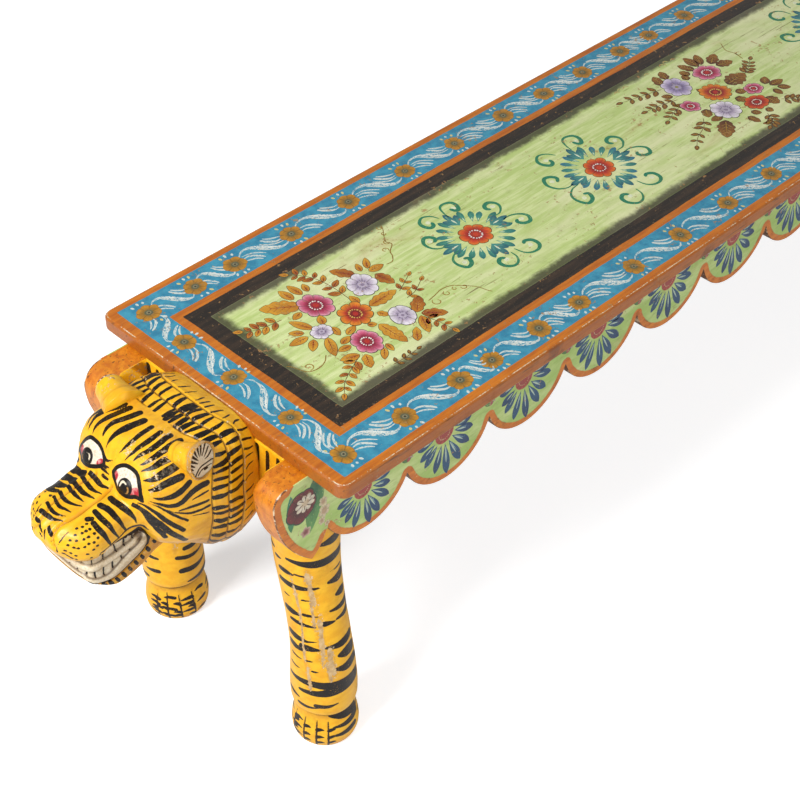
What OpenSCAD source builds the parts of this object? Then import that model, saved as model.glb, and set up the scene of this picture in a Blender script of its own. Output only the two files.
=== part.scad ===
// Painted bench with a carved tiger head at each end
// X runs along the bench, Y across it, Z up; the origin is on the floor under the middle of the seat

/* [Seat board] */
// Length of the seat board
seat_l = 1680; // [1200:10:1900]
// Width of the seat board
seat_w = 382; // [340:1:440]
// Thickness of the seat board
seat_t = 19; // [16:1:30]
// Height of the seat above the floor
seat_h = 430; // [400:5:470]
// Corner radius of the seat board seen from above
seat_corner_r = 12; // [4:1:20]
// Radius worn along the upper and lower long edges
seat_edge_r = 4; // [2:1:8]

/* [Side aprons] */
// Distance by which everything under the seat stands off its centre line, toward the back
base_shift = 5.5; // [0:0.5:10]
// Distance from the seat's long edge to the outer face of the aprons and brackets
side_inset = 46.5; // [42:0.5:56]
// Thickness of a scalloped apron
apron_t = 25; // [18:1:30]
// Depth of the straight part of the apron, down to the notches
apron_band = 88; // [80:1:100]
// Number of full scallops between the two narrow end ones
scallop_n = 11; // [7:2:15]
// Width of the narrow scallop next to each bracket
end_scallop_w = 115; // [100:1:125]
// Depth of a full scallop below the notches
scallop_drop = 48; // [35:1:58]
// Depth of a narrow scallop below the notches
end_scallop_drop = 38; // [30:1:50]

/* [Corner brackets] */
// Thickness of a corner bracket
bracket_t = 35; // [30:1:38]
// Distance a front bracket's rounded end stands out beyond the seat
front_reach = 44; // [35:1:50]
// Distance a back bracket's rounded end stands out beyond the seat
back_reach = 59; // [45:1:62]
// Distance from the seat's end to the joint between bracket and apron
bracket_joint = 25; // [20:1:30]
// Radius of the upper corner of a front bracket's end
front_corner_r = 18; // [14:1:22]
// Radius of the upper corner of a back bracket's end
back_corner_r = 25; // [20:1:30]
// Radius of the long curve that runs down to a front bracket's cusp
front_sweep_r = 132; // [126:1:140]
// Radius of the long curve that runs down to a back bracket's cusp
back_sweep_r = 112; // [106:1:120]
// Depth of the cusp below the seat board
cusp_drop = 118; // [112:1:122]

/* [End rails and battens] */
// Thickness of an end rail
rail_t = 22; // [18:1:25]
// Depth of an end rail
rail_drop = 106; // [90:1:115]
// Width of a cross batten
batten_w = 50; // [40:1:70]
// Thickness of a cross batten
batten_t = 20; // [15:1:25]
// Distance of the outer battens from the middle one
batten_pitch = 520; // [400:10:560]
// Shank diameter of the batten screws
screw_d = 5; // [4:0.5:6]
// Head diameter of the batten screws
screw_head_d = 10; // [8:0.5:12]
// Length of the batten screws
screw_l = 34; // [28:1:38]

/* [Legs] */
// Distance of a foot's axis from the seat's end
foot_in = 19; // [10:1:25]
// Distance of a foot's axis from the bench's long centre line
foot_out = 134; // [125:1:142]
// Distance by which the leg's top stands further in along the bench
splay_x = 10; // [0:1:14]
// Distance by which the leg's top stands further in across the bench
splay_y = 30; // [20:1:34]
// Radius of the leg at its slimmest
leg_r = 33; // [30:0.5:36]
// Largest radius of the paw
paw_r = 38.5; // [36:0.5:42]

/* [Tiger heads] */
// Distance the nose stands out beyond the seat's end
head_l = 218; // [216:1:240]
// Depth of the three carved lines round the ruff
ruff_groove = 2.5; // [1:0.5:4]
// Distance of an ear's root from the head's centre line
ear_root = 52; // [48:1:56]
// Length of an ear
ear_l = 28; // [24:1:36]
// Radius of an ear at its root
ear_r1 = 14; // [12:0.5:17]
// Radius of an ear at its rim
ear_r2 = 19; // [16:0.5:22]
// Number of teeth along one side of each row
teeth_n = 6; // [4:1:8]

/* [Hidden] */
$fn = 64;
WOOD_ORANGE = [0.82, 0.42, 0.08];
TIGER_YELLOW = [0.95, 0.68, 0.12];
LEAF_GREEN = [0.68, 0.78, 0.42];
RAW_WOOD = [0.62, 0.45, 0.28];
STEEL = [0.70, 0.70, 0.72];

seat_end = seat_l / 2;
under = seat_h - seat_t;
side_face = seat_w / 2 - side_inset;
notch_z = under - apron_band;
scallop_w = (seat_l - 2 * bracket_joint - 2 * end_scallop_w) / scallop_n;
cusp_z = under - cusp_drop;
batten_len = 2 * (side_face - apron_t);
head_z = seat_h;

// Puts what is drawn at the left end, front side, under any of the four corners of the seat
module at_corner(end, side) {
    translate([0, base_shift, 0]) mirror([end > 0 ? 1 : 0, 0, 0]) mirror([0, side > 0 ? 1 : 0, 0]) children();
}

// Circle whose arc sinks drop below a chord of width w; the chord's middle is the origin
module scallop(w, drop) {
    r = (pow(w / 2, 2) + pow(drop, 2)) / (2 * drop);
    translate([0, r - drop]) circle(r = r, $fn = 96);
}

// Side view of an apron: a straight band with a row of hanging scallops
module apron_outline() {
    first = -seat_end + bracket_joint;
    translate([first, notch_z]) square([-2 * first, apron_band]);
    intersection() {
        translate([first, 0]) square([-2 * first, under]);
        union() {
            for (side = [-1, 1])
                translate([side * (-first - end_scallop_w / 2), notch_z]) scallop(end_scallop_w, end_scallop_drop);
            for (i = [0 : scallop_n - 1])
                translate([first + end_scallop_w + (i + 0.5) * scallop_w, notch_z])
                    scallop(scallop_w, scallop_drop);
        }
    }
}

module apron(side) {
    color(LEAF_GREEN) translate([0, base_shift, 0])
        translate([0, side * (side_face - apron_t / 2) + apron_t / 2, 0])
            rotate([90, 0, 0]) linear_extrude(apron_t) apron_outline();
}

// Side view of a left bracket: flat top, rounded shoulder, long curve down to a cusp
module bracket_outline(side) {
    reach = side > 0 ? back_reach : front_reach;
    corner_r = side > 0 ? back_corner_r : front_corner_r;
    sweep_r = side > 0 ? back_sweep_r : front_sweep_r;
    end_x = -seat_end - reach;
    joint_x = -seat_end + bracket_joint;
    sweep_z = under - corner_r;
    cusp_x = end_x + sweep_r - sqrt(pow(sweep_r, 2) - pow(sweep_z - cusp_z, 2));
    translate([end_x + corner_r, sweep_z]) circle(r = corner_r);
    translate([end_x + corner_r, sweep_z]) square([joint_x - end_x - corner_r, corner_r]);
    intersection() {
        translate([end_x + sweep_r, sweep_z]) circle(r = sweep_r, $fn = 180);
        polygon([
            [end_x - 1, sweep_z], [end_x - 1, cusp_z], [cusp_x, cusp_z],
            [joint_x, notch_z], [joint_x, sweep_z]
        ]);
    }
}

module bracket_solid(side) {
    translate([0, -side_face + bracket_t, 0])
        rotate([90, 0, 0]) linear_extrude(bracket_t) bracket_outline(side);
}

module bracket(end, side) {
    color(WOOD_ORANGE) at_corner(end, side) bracket_solid(side);
}

module rail_solid() {
    inner = side_face - bracket_t;
    translate([-seat_end, -inner, under - rail_drop]) cube([rail_t, 2 * inner, rail_drop]);
}

module end_rail(end) {
    color(TIGER_YELLOW) at_corner(end, -1) rail_solid();
}

// One ring of points: a superellipse with its middle at [y, z], half sizes a and b and squareness n
function super(v, n) = sign(v) * pow(abs(v), 2 / n);
function ring(x, y, z, a, b, n, count) = [
    for (i = [0 : count - 1])
        let (angle = 360 * (i + 0.5) / count)
        [x, y + a * super(cos(angle), n), z + b * super(sin(angle), n)]
];

// Closed skin over a row of rings with equal numbers of points
module skin(rings) {
    count = len(rings[0]);
    last = len(rings) - 1;
    points = [for (r = rings) for (p = r) p];
    sides = [
        for (j = [0 : last - 1]) for (i = [0 : count - 1])
            let (k = (i + 1) % count)
            [j * count + i, j * count + k, (j + 1) * count + k, (j + 1) * count + i]
    ];
    first_cap = [for (i = [count - 1 : -1 : 0]) i];
    last_cap = [for (i = [0 : count - 1]) last * count + i];
    polyhedron(points = points, faces = concat([first_cap], sides, [last_cap]), convexity = 6);
}

// Value read from a profile and softened over a short stretch
function soft(profile, u, reach) =
    (lookup(u - reach, profile) + 2 * lookup(u, profile) + lookup(u + reach, profile)) / 4;
function ease(t) = let (c = min(max(t, 0), 1)) c * c * (3 - 2 * c);

// Leg, from the floor up: [height, radius as a share of the slimmest radius]
LEG_SIDES = 24;
LEG_BARE_BOTTOM = 115;
LEG_BARE_TOP = 275;
leg_profile = [
    [88, 1.14], [110, 1.11], [145, 1.04], [185, 1.01], [230, 1.05], [265, 1.1], [300, 1.14], [430, 1.14]
];
PAW_HEIGHT = 50;
paw_profile = [
    [0, 0.88], [3, 0.93], [9, 0.98], [18, 1], [28, 0.97], [38, 0.9], [46, 0.85], [PAW_HEIGHT, 0.84]
];
ANKLE = [[54, 1.05], [60, 1.1], [68, 1.13], [78, 1.14], [88, 1.14]];
function leg_radius(h) =
    h <= PAW_HEIGHT ? paw_r * lookup(h, paw_profile)
    : leg_r * (h <= ANKLE[len(ANKLE) - 1][0] ? lookup(h, ANKLE) : lookup(h, leg_profile));
function leg_lean(h) = ease((h - LEG_BARE_BOTTOM) / (LEG_BARE_TOP - LEG_BARE_BOTTOM));
leg_heights = concat(
    [for (p = paw_profile) p[0]],
    [for (p = ANKLE) p[0]],
    [for (h = [102 : 16 : 278]) h],
    [300, 340, under]
);

// Leg ring, lying flat at height h
function leg_ring(h) =
    let (r = leg_radius(h), lean = leg_lean(h))
    [
        for (i = [0 : LEG_SIDES - 1])
            let (angle = 360 * i / LEG_SIDES)
            [
                -seat_end + foot_in + splay_x * lean + r * cos(angle),
                -foot_out + splay_y * lean + r * sin(angle),
                h
            ]
    ];

// Carved leg and paw; its top is cut round the bracket, the apron and the end rail
module leg_solid(side) {
    difference() {
        skin([for (h = leg_heights) leg_ring(h)]);
        bracket_solid(side);
        translate([-seat_end - 2 * paw_r, -side_face, under - rail_drop])
            cube([2 * paw_r + rail_t, side_face, rail_drop + 1]);
        translate([0, -side_face + apron_t, 0])
            rotate([90, 0, 0]) linear_extrude(apron_t) intersection() {
                apron_outline();
                translate([-seat_end, 0]) square([end_scallop_w, seat_h]);
            }
    }
}

module leg(end, side) {
    color(TIGER_YELLOW) at_corner(end, side) leg_solid(side);
}

// Head profiles, by distance out from the seat's end; heights are measured from the seat's top
HEAD_SIDES = 36;
NECK_STEP = 8;
head_half_width = [
    [0, 70], [14, 75], [24, 78], [44, 79], [63, 77], [80, 74], [95, 72], [110, 68],
    [122, 63], [130, 57], [137, 49], [144, 44], [190, 42], [200, 39], [208, 33], [214, 25], [head_l, 15]
];
head_top = [
    [0, 3], [14, 9], [24, 12], [44, 12], [80, 13], [98, 12], [110, 10], [121, 4],
    [129, -8], [136, -22], [142, -29], [190, -33], [200, -37], [208, -43], [214, -48], [head_l, -53]
];
head_bottom = [
    [0, -150], [14, -153], [30, -153], [46, -150], [63, -142], [80, -128], [100, -112],
    [122, -98], [131, -78], [140, -70], [204, -70], [212, -67], [head_l, -62]
];
head_squareness = [[0, 2.8], [30, 3], [90, 3.4], [125, 3.8], [135, 3.6], [150, 3.2], [200, 3.2], [head_l, 2.4]];
grooves = [24, 44, 63];
GROOVE_HALF = 2.5;
head_stations = concat(
    [0, 7, 14],
    [for (g = grooves) for (d = [-GROOVE_HALF, 0, GROOVE_HALF]) g + d],
    [for (u = [34, 54]) u],
    [for (u = [72 : 9 : 153]) u],
    [168, 184, 194, 202, 208, 213, 216, head_l]
);
function in_groove(u) = len([for (g = grooves) if (g == u) g]) > 0 ? ruff_groove : 0;
function head_ring(u) =
    let (
        cut = in_groove(u),
        a = soft(head_half_width, u, 3) - cut,
        top = soft(head_top, u, 3) - cut,
        bottom = soft(head_bottom, u, 3) + cut
    )
    ring(-seat_end - u, 0, head_z + (top + bottom) / 2, a, (top - bottom) / 2,
        lookup(u, head_squareness), HEAD_SIDES);

// Lower jaw, set back under the nose
JAW_SIDES = 28;
jaw_profile = [
    // distance out, half width, rim height, underside height
    [84, 47, -80, -102],
    [104, 46, -90, -113],
    [124, 45, -101, -122],
    [142, 44, -106, -129],
    [164, 43, -108, -133],
    [180, 42, -107, -129],
    [191, 36, -106, -122],
    [198, 26, -106, -114]
];
module jaw() {
    skin([
        for (s = jaw_profile)
            ring(-seat_end - s[0], 0, head_z + (s[2] + s[3]) / 2, s[1], (s[2] - s[3]) / 2, 2.8, JAW_SIDES)
    ]);
}

// Teeth, carved as one band behind the lips and parted by saw cuts
TEETH_TOP = -64;
TEETH_BOTTOM = -112;
TEETH_FIRST = 136;
TEETH_RUN = 50;
GAP_W = 1.6;
GAP_DEPTH = 3;
GAP_MARGIN = 6;
teeth_profile = [
    // distance out, half width
    [118, 39],
    [184, 39],
    [196, 33],
    [202, 23]
];
module teeth_band() {
    skin([
        for (s = teeth_profile)
            ring(-seat_end - s[0], 0, head_z + (TEETH_TOP + TEETH_BOTTOM) / 2, s[1],
                (TEETH_TOP - TEETH_BOTTOM) / 2, 6, JAW_SIDES)
    ]);
}
module tooth_gaps() {
    half = teeth_profile[0][1];
    front = teeth_profile[len(teeth_profile) - 1][0];
    for (i = [0 : teeth_n - 1])
        for (side = [-1, 1])
            translate([
                -seat_end - TEETH_FIRST - i * TEETH_RUN / teeth_n - GAP_W,
                side * half - GAP_DEPTH,
                head_z + TEETH_BOTTOM + GAP_MARGIN
            ]) cube([GAP_W, 2 * GAP_DEPTH, TEETH_TOP - TEETH_BOTTOM - 2 * GAP_MARGIN]);
    translate([-seat_end - front - 1, -half - 1, head_z + (TEETH_TOP + TEETH_BOTTOM) / 2])
        cube([front - teeth_profile[0][0], 2 * half + 2, GAP_W]);
}

// Bulging eyes under the brow
EYE_OUT = 119;
EYE_APART = 28;
EYE_DROP = -28;
EYE_R = 22;
module eyes() {
    for (side = [-1, 1])
        translate([-seat_end - EYE_OUT, side * EYE_APART, head_z + EYE_DROP]) sphere(r = EYE_R, $fn = 40);
}

module head_solid() {
    difference() {
        union() {
            skin([for (u = head_stations) head_ring(u)]);
            jaw();
            difference() {
                teeth_band();
                tooth_gaps();
            }
            eyes();
        }
        ear_shape(-1);
        ear_shape(1);
    }
}

module tiger_head(end) {
    color(TIGER_YELLOW) at_corner(end, -1) head_solid();
}

// Ear: a plug that flares to a dished rim, let into the side of the head
EAR_OUT = 82;
EAR_UP = 5;
EAR_LIFT = 10;
EAR_SWEEP = 14;
EAR_RIM = 3;
EAR_DISH = 2;
module ear_shape(side) {
    translate([-seat_end - EAR_OUT, side * ear_root, head_z + EAR_UP])
        rotate([0, 0, -side * EAR_SWEEP]) rotate([-side * (90 - EAR_LIFT), 0, 0])
            difference() {
                cylinder(h = ear_l, r1 = ear_r1, r2 = ear_r2);
                translate([0, 0, ear_l - EAR_DISH]) cylinder(h = EAR_DISH + 1, r = ear_r2 - EAR_RIM);
            }
}

module ear(end, side) {
    color(TIGER_YELLOW) at_corner(end, -1) ear_shape(side);
}

// Countersunk screws that hold a batten up against the seat
SCREW_PLACES = [for (x = [-1, 1]) for (y = [-1, 1]) [x * batten_w / 4, y * batten_len / 3]];
module batten_screws(x) {
    head_h = (screw_head_d - screw_d) / 2;
    for (p = SCREW_PLACES)
        translate([x + p[0], base_shift + p[1], under - batten_t]) {
            cylinder(h = head_h, d1 = screw_head_d, d2 = screw_d, $fn = 32);
            cylinder(h = screw_l, d = screw_d, $fn = 32);
        }
}

module screws(x) {
    color(STEEL) batten_screws(x);
}

module batten(x) {
    color(RAW_WOOD) difference() {
        translate([x - batten_w / 2, base_shift - batten_len / 2, under - batten_t])
            cube([batten_w, batten_len, batten_t]);
        batten_screws(x);
    }
}

// Seat board with rounded corners and eased long edges, drilled for the batten screws
module seat_section() {
    side = seat_w / 2 - seat_edge_r;
    translate([-side, 0]) square([2 * side, seat_t]);
    for (s = [-1, 1]) {
        translate([s * side, seat_edge_r]) circle(r = seat_edge_r);
        translate([s * side, seat_t - seat_edge_r]) circle(r = seat_edge_r);
    }
    translate([-seat_w / 2, seat_edge_r]) square([seat_w, seat_t - 2 * seat_edge_r]);
}

module seat_corners() {
    x = seat_end - seat_corner_r;
    y = seat_w / 2 - seat_corner_r;
    square([seat_l, 2 * y], center = true);
    square([2 * x, seat_w], center = true);
    for (sx = [-1, 1])
        for (sy = [-1, 1])
            translate([sx * x, sy * y]) circle(r = seat_corner_r);
}

module top_board() {
    color(WOOD_ORANGE) difference() {
        intersection() {
            translate([-seat_end, 0, under]) rotate([90, 0, 90]) linear_extrude(seat_l) seat_section();
            translate([0, 0, under]) linear_extrude(seat_t) seat_corners();
        }
        for (x = [-batten_pitch, 0, batten_pitch]) batten_screws(x);
    }
}

top_board();
apron(-1);  // apron_front
apron(1);  // apron_back
bracket(-1, -1);  // bracket_front_left
bracket(1, -1);  // bracket_front_right
bracket(-1, 1);  // bracket_back_left
bracket(1, 1);  // bracket_back_right
end_rail(-1);  // end_rail_left
end_rail(1);  // end_rail_right
leg(-1, -1);  // leg_front_left
leg(1, -1);  // leg_front_right
leg(-1, 1);  // leg_back_left
leg(1, 1);  // leg_back_right
tiger_head(-1);  // tiger_head_left
tiger_head(1);  // tiger_head_right
ear(-1, -1);  // ear_front_left
ear(1, -1);  // ear_front_right
ear(-1, 1);  // ear_back_left
ear(1, 1);  // ear_back_right
batten(-batten_pitch);  // batten_left
batten(0);  // batten_middle
batten(batten_pitch);  // batten_right
screws(-batten_pitch);  // screws_left
screws(0);  // screws_middle
screws(batten_pitch);  // screws_right
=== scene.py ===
"""Looks of the painted bench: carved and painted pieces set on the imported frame.

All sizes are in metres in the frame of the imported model: X along the bench, Y across it,
Z up, origin on the floor under the middle of the seat. Profiles and painted motifs are
written in millimetres and scaled by MM.
"""

import math
import random

import bmesh
import bpy
import numpy as np
from mathutils import Matrix, Vector


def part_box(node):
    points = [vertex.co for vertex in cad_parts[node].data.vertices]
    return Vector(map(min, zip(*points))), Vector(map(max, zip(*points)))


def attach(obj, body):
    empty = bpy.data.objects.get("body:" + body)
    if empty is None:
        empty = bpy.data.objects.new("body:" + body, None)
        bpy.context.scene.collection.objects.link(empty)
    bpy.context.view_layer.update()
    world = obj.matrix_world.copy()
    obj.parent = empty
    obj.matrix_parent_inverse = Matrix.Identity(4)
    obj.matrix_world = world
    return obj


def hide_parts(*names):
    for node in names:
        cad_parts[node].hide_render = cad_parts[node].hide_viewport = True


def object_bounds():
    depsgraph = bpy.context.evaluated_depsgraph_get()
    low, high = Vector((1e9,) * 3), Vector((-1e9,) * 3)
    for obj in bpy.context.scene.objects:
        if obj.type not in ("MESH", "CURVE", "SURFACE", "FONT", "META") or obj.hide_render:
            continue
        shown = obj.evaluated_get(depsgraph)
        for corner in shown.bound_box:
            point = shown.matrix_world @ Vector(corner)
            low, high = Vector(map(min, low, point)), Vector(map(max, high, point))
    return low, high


MM = 0.001
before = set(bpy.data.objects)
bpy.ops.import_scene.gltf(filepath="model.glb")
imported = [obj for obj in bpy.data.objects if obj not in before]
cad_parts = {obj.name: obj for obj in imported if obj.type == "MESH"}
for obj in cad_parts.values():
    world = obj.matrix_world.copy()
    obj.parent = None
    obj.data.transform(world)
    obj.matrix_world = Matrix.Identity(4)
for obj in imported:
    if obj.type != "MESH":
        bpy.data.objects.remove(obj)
CAD_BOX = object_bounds()

# Main places, read from the frame
BOARD_LO, BOARD_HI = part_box("top_board")
END = BOARD_HI.x
HALF_W = BOARD_HI.y
TOP = BOARD_HI.z
UNDER = BOARD_LO.z
APRON_LO, APRON_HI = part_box("apron_front")
BRACKET_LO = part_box("bracket_front_left")[0]
BACK_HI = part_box("bracket_back_left")[1]
RAIL_LO, RAIL_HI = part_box("end_rail_left")
SHIFT = (BRACKET_LO.y + BACK_HI.y) / 2

# The two ends and the two long sides, as signs and as the names of nodes have them
ENDS = ((-1, "left"), (1, "right"))
SIDES = ((-1, "front"), (1, "back"))


# Meshes


def new_object(name, data):
    made = bpy.data.objects.new(name, data)
    bpy.context.scene.collection.objects.link(made)
    return made


def store(mesh, field, values):
    """Keeps one number per vertex on a mesh."""
    mesh.attributes.new(field, "FLOAT", "POINT").data.foreach_set("value", np.asarray(values, np.float32))


def add_piece(
    name, verts, faces, materials, replaces=(), smooth=True, fields=None, face_slots=None,
):
    """A mesh object that rides on the bench. fields are per-vertex values that materials read."""
    mesh = bpy.data.meshes.new(name)
    mesh.from_pydata([tuple(v) for v in verts], [], [tuple(f) for f in faces])
    for material in materials:
        mesh.materials.append(material)
    if face_slots is not None:
        mesh.polygons.foreach_set("material_index", face_slots)
    for field, values in (fields or {}).items():
        store(mesh, field, values)
    rounded = smooth if isinstance(smooth, list) else [smooth] * len(mesh.polygons)
    mesh.polygons.foreach_set("use_smooth", rounded)
    turn_outward(mesh)
    finish_piece(new_object(name, mesh), replaces)


def finish_piece(piece, replaces=()):
    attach(piece, "root")
    if replaces:
        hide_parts(*replaces)


def turn_outward(mesh):
    bm = bmesh.new()
    bm.from_mesh(mesh)
    bmesh.ops.recalc_face_normals(bm, faces=bm.faces)
    bm.to_mesh(mesh)
    bm.free()


def ring_faces(rows, cols, start=0):
    """Quads between rows of closed rings, each ring cols long."""
    j, i = np.meshgrid(np.arange(rows - 1), np.arange(cols), indexing="ij")
    k = (i + 1) % cols
    quads = np.stack([j * cols + i, j * cols + k, (j + 1) * cols + k, (j + 1) * cols + i], -1)
    return (quads.reshape(-1, 4) + start).tolist()


def fan(ring, centre, flip=False):
    """Triangles from a closed ring of vertex numbers to a centre vertex."""
    count = len(ring)
    pairs = [(ring[i], ring[(i + 1) % count]) for i in range(count)]
    return [(b, a, centre) if flip else (a, b, centre) for a, b in pairs]


def tube_mesh(rings):
    """Closed mesh over rings (rows, cols, 3): each end is closed on its middle point."""
    rows, cols, _ = rings.shape
    verts = np.concatenate([rings.reshape(-1, 3), rings[0].mean(0)[None], rings[-1].mean(0)[None]])
    faces = ring_faces(rows, cols)
    faces += fan(list(range(cols)), rows * cols, flip=True)
    faces += fan([(rows - 1) * cols + i for i in range(cols)], rows * cols + 1)
    return verts, faces


def grid_normals(rings):
    """Unit normals of a grid of closed rings, pointing away from each ring's middle."""
    along = np.gradient(rings, axis=0)
    around = np.roll(rings, -1, axis=1) - np.roll(rings, 1, axis=1)
    normal = np.cross(around, along)
    normal /= np.linalg.norm(normal, axis=2, keepdims=True) + 1e-12
    outward = rings - rings.mean(axis=1, keepdims=True)
    normal *= np.where((normal * outward).sum(2, keepdims=True) < 0, -1, 1)
    return normal


def wobble(points, size, seed, count=9):
    """Smooth hand-made unevenness between -1 and 1, with bumps about size apart."""
    rng = np.random.default_rng(seed)
    waves = rng.normal(size=(count, 3))
    waves /= np.linalg.norm(waves, axis=1, keepdims=True)
    waves *= (2 * math.pi / size) * rng.uniform(0.6, 1.6, (count, 1))
    shifts = rng.uniform(0, 2 * math.pi, count)
    return np.sin(points @ waves.T + shifts).sum(-1) / math.sqrt(count) * 0.9


def profile(table, at, soften=0.0):
    """Values read from (place, value) pairs, softened over a short stretch."""
    places, values = zip(*table)
    if not soften:
        return np.interp(at, places, values)
    reach = np.linspace(-2, 2, 17) * soften
    weight = np.exp(-(reach / soften) ** 2)
    spread = np.interp(np.asarray(at)[:, None] + reach[None, :], places, values)
    return spread @ weight / weight.sum()


def bump(value, middle, width):
    return np.exp(-(((value - middle) / width) ** 2))


# Tiger head: profiles by distance out from the seat's end, heights from the seat's top, in millimetres
HEAD_L = 218
HEAD_HALF_WIDTH = [
    (0, 70), (14, 75), (24, 78), (44, 79), (63, 77), (80, 74), (95, 72), (110, 68),
    (122, 63), (130, 57), (137, 50), (144, 46), (188, 45), (200, 42), (HEAD_L, 38),
]
HEAD_TOP = [
    (0, 0), (14, 7), (24, 11), (44, 12), (80, 13), (98, 12), (110, 10), (121, 4),
    (129, -8), (136, -22), (142, -29), (190, -33), (HEAD_L, -37),
]
HEAD_BOTTOM = [
    (0, -150), (14, -153), (30, -153), (46, -150), (63, -142), (80, -128), (100, -113),
    (116, -101), (122, -93), (127, -82), (131, -72), (137, -64.5), (150, -65), (158, -67),
    (170, -69.5), (180, -72), (192, -75), (HEAD_L, -75),
]
HEAD_SQUARE = [
    (0, 2.8), (30, 3), (90, 3.4), (122, 3.8), (136, 4.6), (144, 6), (190, 6), (204, 4), (HEAD_L, 2.6),
]
NAPE_SQUARE = [
    (0, 5.4), (60, 5.2), (80, 4.8), (96, 4.2), (120, 3.9), (135, 3.6), (150, 3.2), (200, 3.0),
    (HEAD_L, 2.4),
]
NEAR_SQUARE = [
    (0, 4.2), (60, 4.05), (80, 3.8), (96, 3.5), (120, 3.8), (135, 3.6), (150, 3.2), (200, 3),
    (HEAD_L, 2.4),
]
NOSE_ROUND = 26
GROOVES = (24, 44, 63)
RUFF_LEAN = [
    (0, 3), (7, 2.5), (14, 1), (20, -2), (30, -6), (42, -6.5), (55, -4.5), (70, -2), (80, 1), (90, 4),
    (100, 6.5), (112, 8), (125, 7), (180, 6),
]
EYE = (119, 28, -28)
EYE_R = 22
HEAD_COLS = 380


def super_ring(angles, half_width, half_height, square):
    """Superellipse ring: angles run from the top (0) over the side at -Y (90) to the bottom (180)."""
    c, s = np.cos(angles), np.sin(angles)
    y = -np.sign(s) * half_width * np.abs(s) ** (2 / square)
    z = np.sign(c) * half_height * np.abs(c) ** (2 / square)
    return y, z


def ring_angles(cols, square=3.3):
    """Angles of a superellipse that stand about evenly spaced round it."""
    fine = np.linspace(0, 2 * math.pi, 3601)
    y, z = super_ring(fine, 1.0, 1.0, square)
    length = np.concatenate([[0], np.cumsum(np.hypot(np.diff(y), np.diff(z)))])
    return np.interp(np.linspace(0, length[-1], cols, endpoint=False), length, fine)


def even_angles(cols, half_width, half_height, powers):
    """Angles of columns spaced evenly round one ring; powers: near top, bottom and far top."""
    t = np.linspace(0, 1, 300, endpoint=False)
    eased = t**4 / (t**4 + (1 - t) ** 4)
    fine = np.append((np.arange(4)[:, None] + eased).ravel() * math.pi / 2, 2 * math.pi)
    power = np.select([np.cos(fine) <= 0, fine < math.pi], [powers[1], powers[0]], powers[2])
    y, z = super_ring(fine, half_width, half_height, power)
    length = np.concatenate([[0], np.cumsum(np.hypot(np.diff(y), np.diff(z)))])
    return np.interp(np.linspace(0, length[-1], cols, endpoint=False), length, fine)


def head_stations():
    stretches = ((0, 14, 8), (14, 73, 78), (73, 112, 34), (112, 192, 90))
    body = np.concatenate(
        [np.linspace(a, b, steps, endpoint=False) for a, b, steps in stretches] + [[192.0]]
    )
    nose = HEAD_L - NOSE_ROUND + NOSE_ROUND * np.sin(np.linspace(0, math.pi / 2, 24)[1:])
    return np.concatenate([body, nose])


def head_rings(stations, cols, even=False):
    """Plain rings of the head before carving, (out, y, z) in millimetres, and their points' angles."""
    turns = np.tile(ring_angles(cols), (len(stations), 1))
    half = profile(HEAD_HALF_WIDTH, stations, 3)
    top = profile(HEAD_TOP, stations, 3)
    bottom = profile(HEAD_BOTTOM, stations, 3)
    square = profile(HEAD_SQUARE, stations, 3)
    far_top, near_top = profile(NAPE_SQUARE, stations, 3), profile(NEAR_SQUARE, stations, 3)
    closing = np.clip((stations - (HEAD_L - NOSE_ROUND)) / NOSE_ROUND, 0, 1)
    shrink = np.sqrt(np.clip(1 - closing ** 2.4, 0, 1)) * 0.96 + 0.04 * (closing < 1)
    rings = np.empty((len(stations), cols, 3))
    for j, out in enumerate(stations):
        height = (top[j] - bottom[j]) / 2
        if even:
            turns[j] = even_angles(cols, half[j], height, (near_top[j], square[j], far_top[j]))
        angles = turns[j]
        power = np.where(
            np.cos(angles) > 0, np.where(angles < math.pi, near_top[j], far_top[j]), square[j],
        )
        y, z = super_ring(angles, half[j] * shrink[j], height * shrink[j], power)
        rings[j] = np.stack([np.full(cols, out), y, z + (top[j] + bottom[j]) / 2], -1)
    return rings, turns


def smooth_push(points, centre, radius, blend):
    """Pushes points out to a ball, with a soft rim."""
    away = points - np.array(centre)
    distance = np.linalg.norm(away, axis=-1, keepdims=True)
    gap = radius - distance
    push = 0.5 * (gap + np.sqrt(gap ** 2 + blend ** 2)) - blend * 0.05
    push = np.where(gap > -2.5 * blend, push, 0) * np.clip((gap + 2.5 * blend) / blend, 0, 1)
    return points + away / (distance + 1e-9) * push


def ruff_line(rings, turns):
    """Place of each point along the head, measured so that the carved ruff lines run straight in it."""
    turn = np.degrees(turns)
    return rings[..., 0] - profile(RUFF_LEAN, np.where(turn > 180, 360 - turn, turn))


def groove_reach(groove, y, z):
    """1 where a ruff groove is carved; the foremost one fades out on top of the head."""
    if groove != GROOVES[-1]:
        return np.ones_like(y)
    return np.clip((np.abs(y) - 17) / 8 + np.clip(-z / 20, 0, 2), 0, 1)


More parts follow.
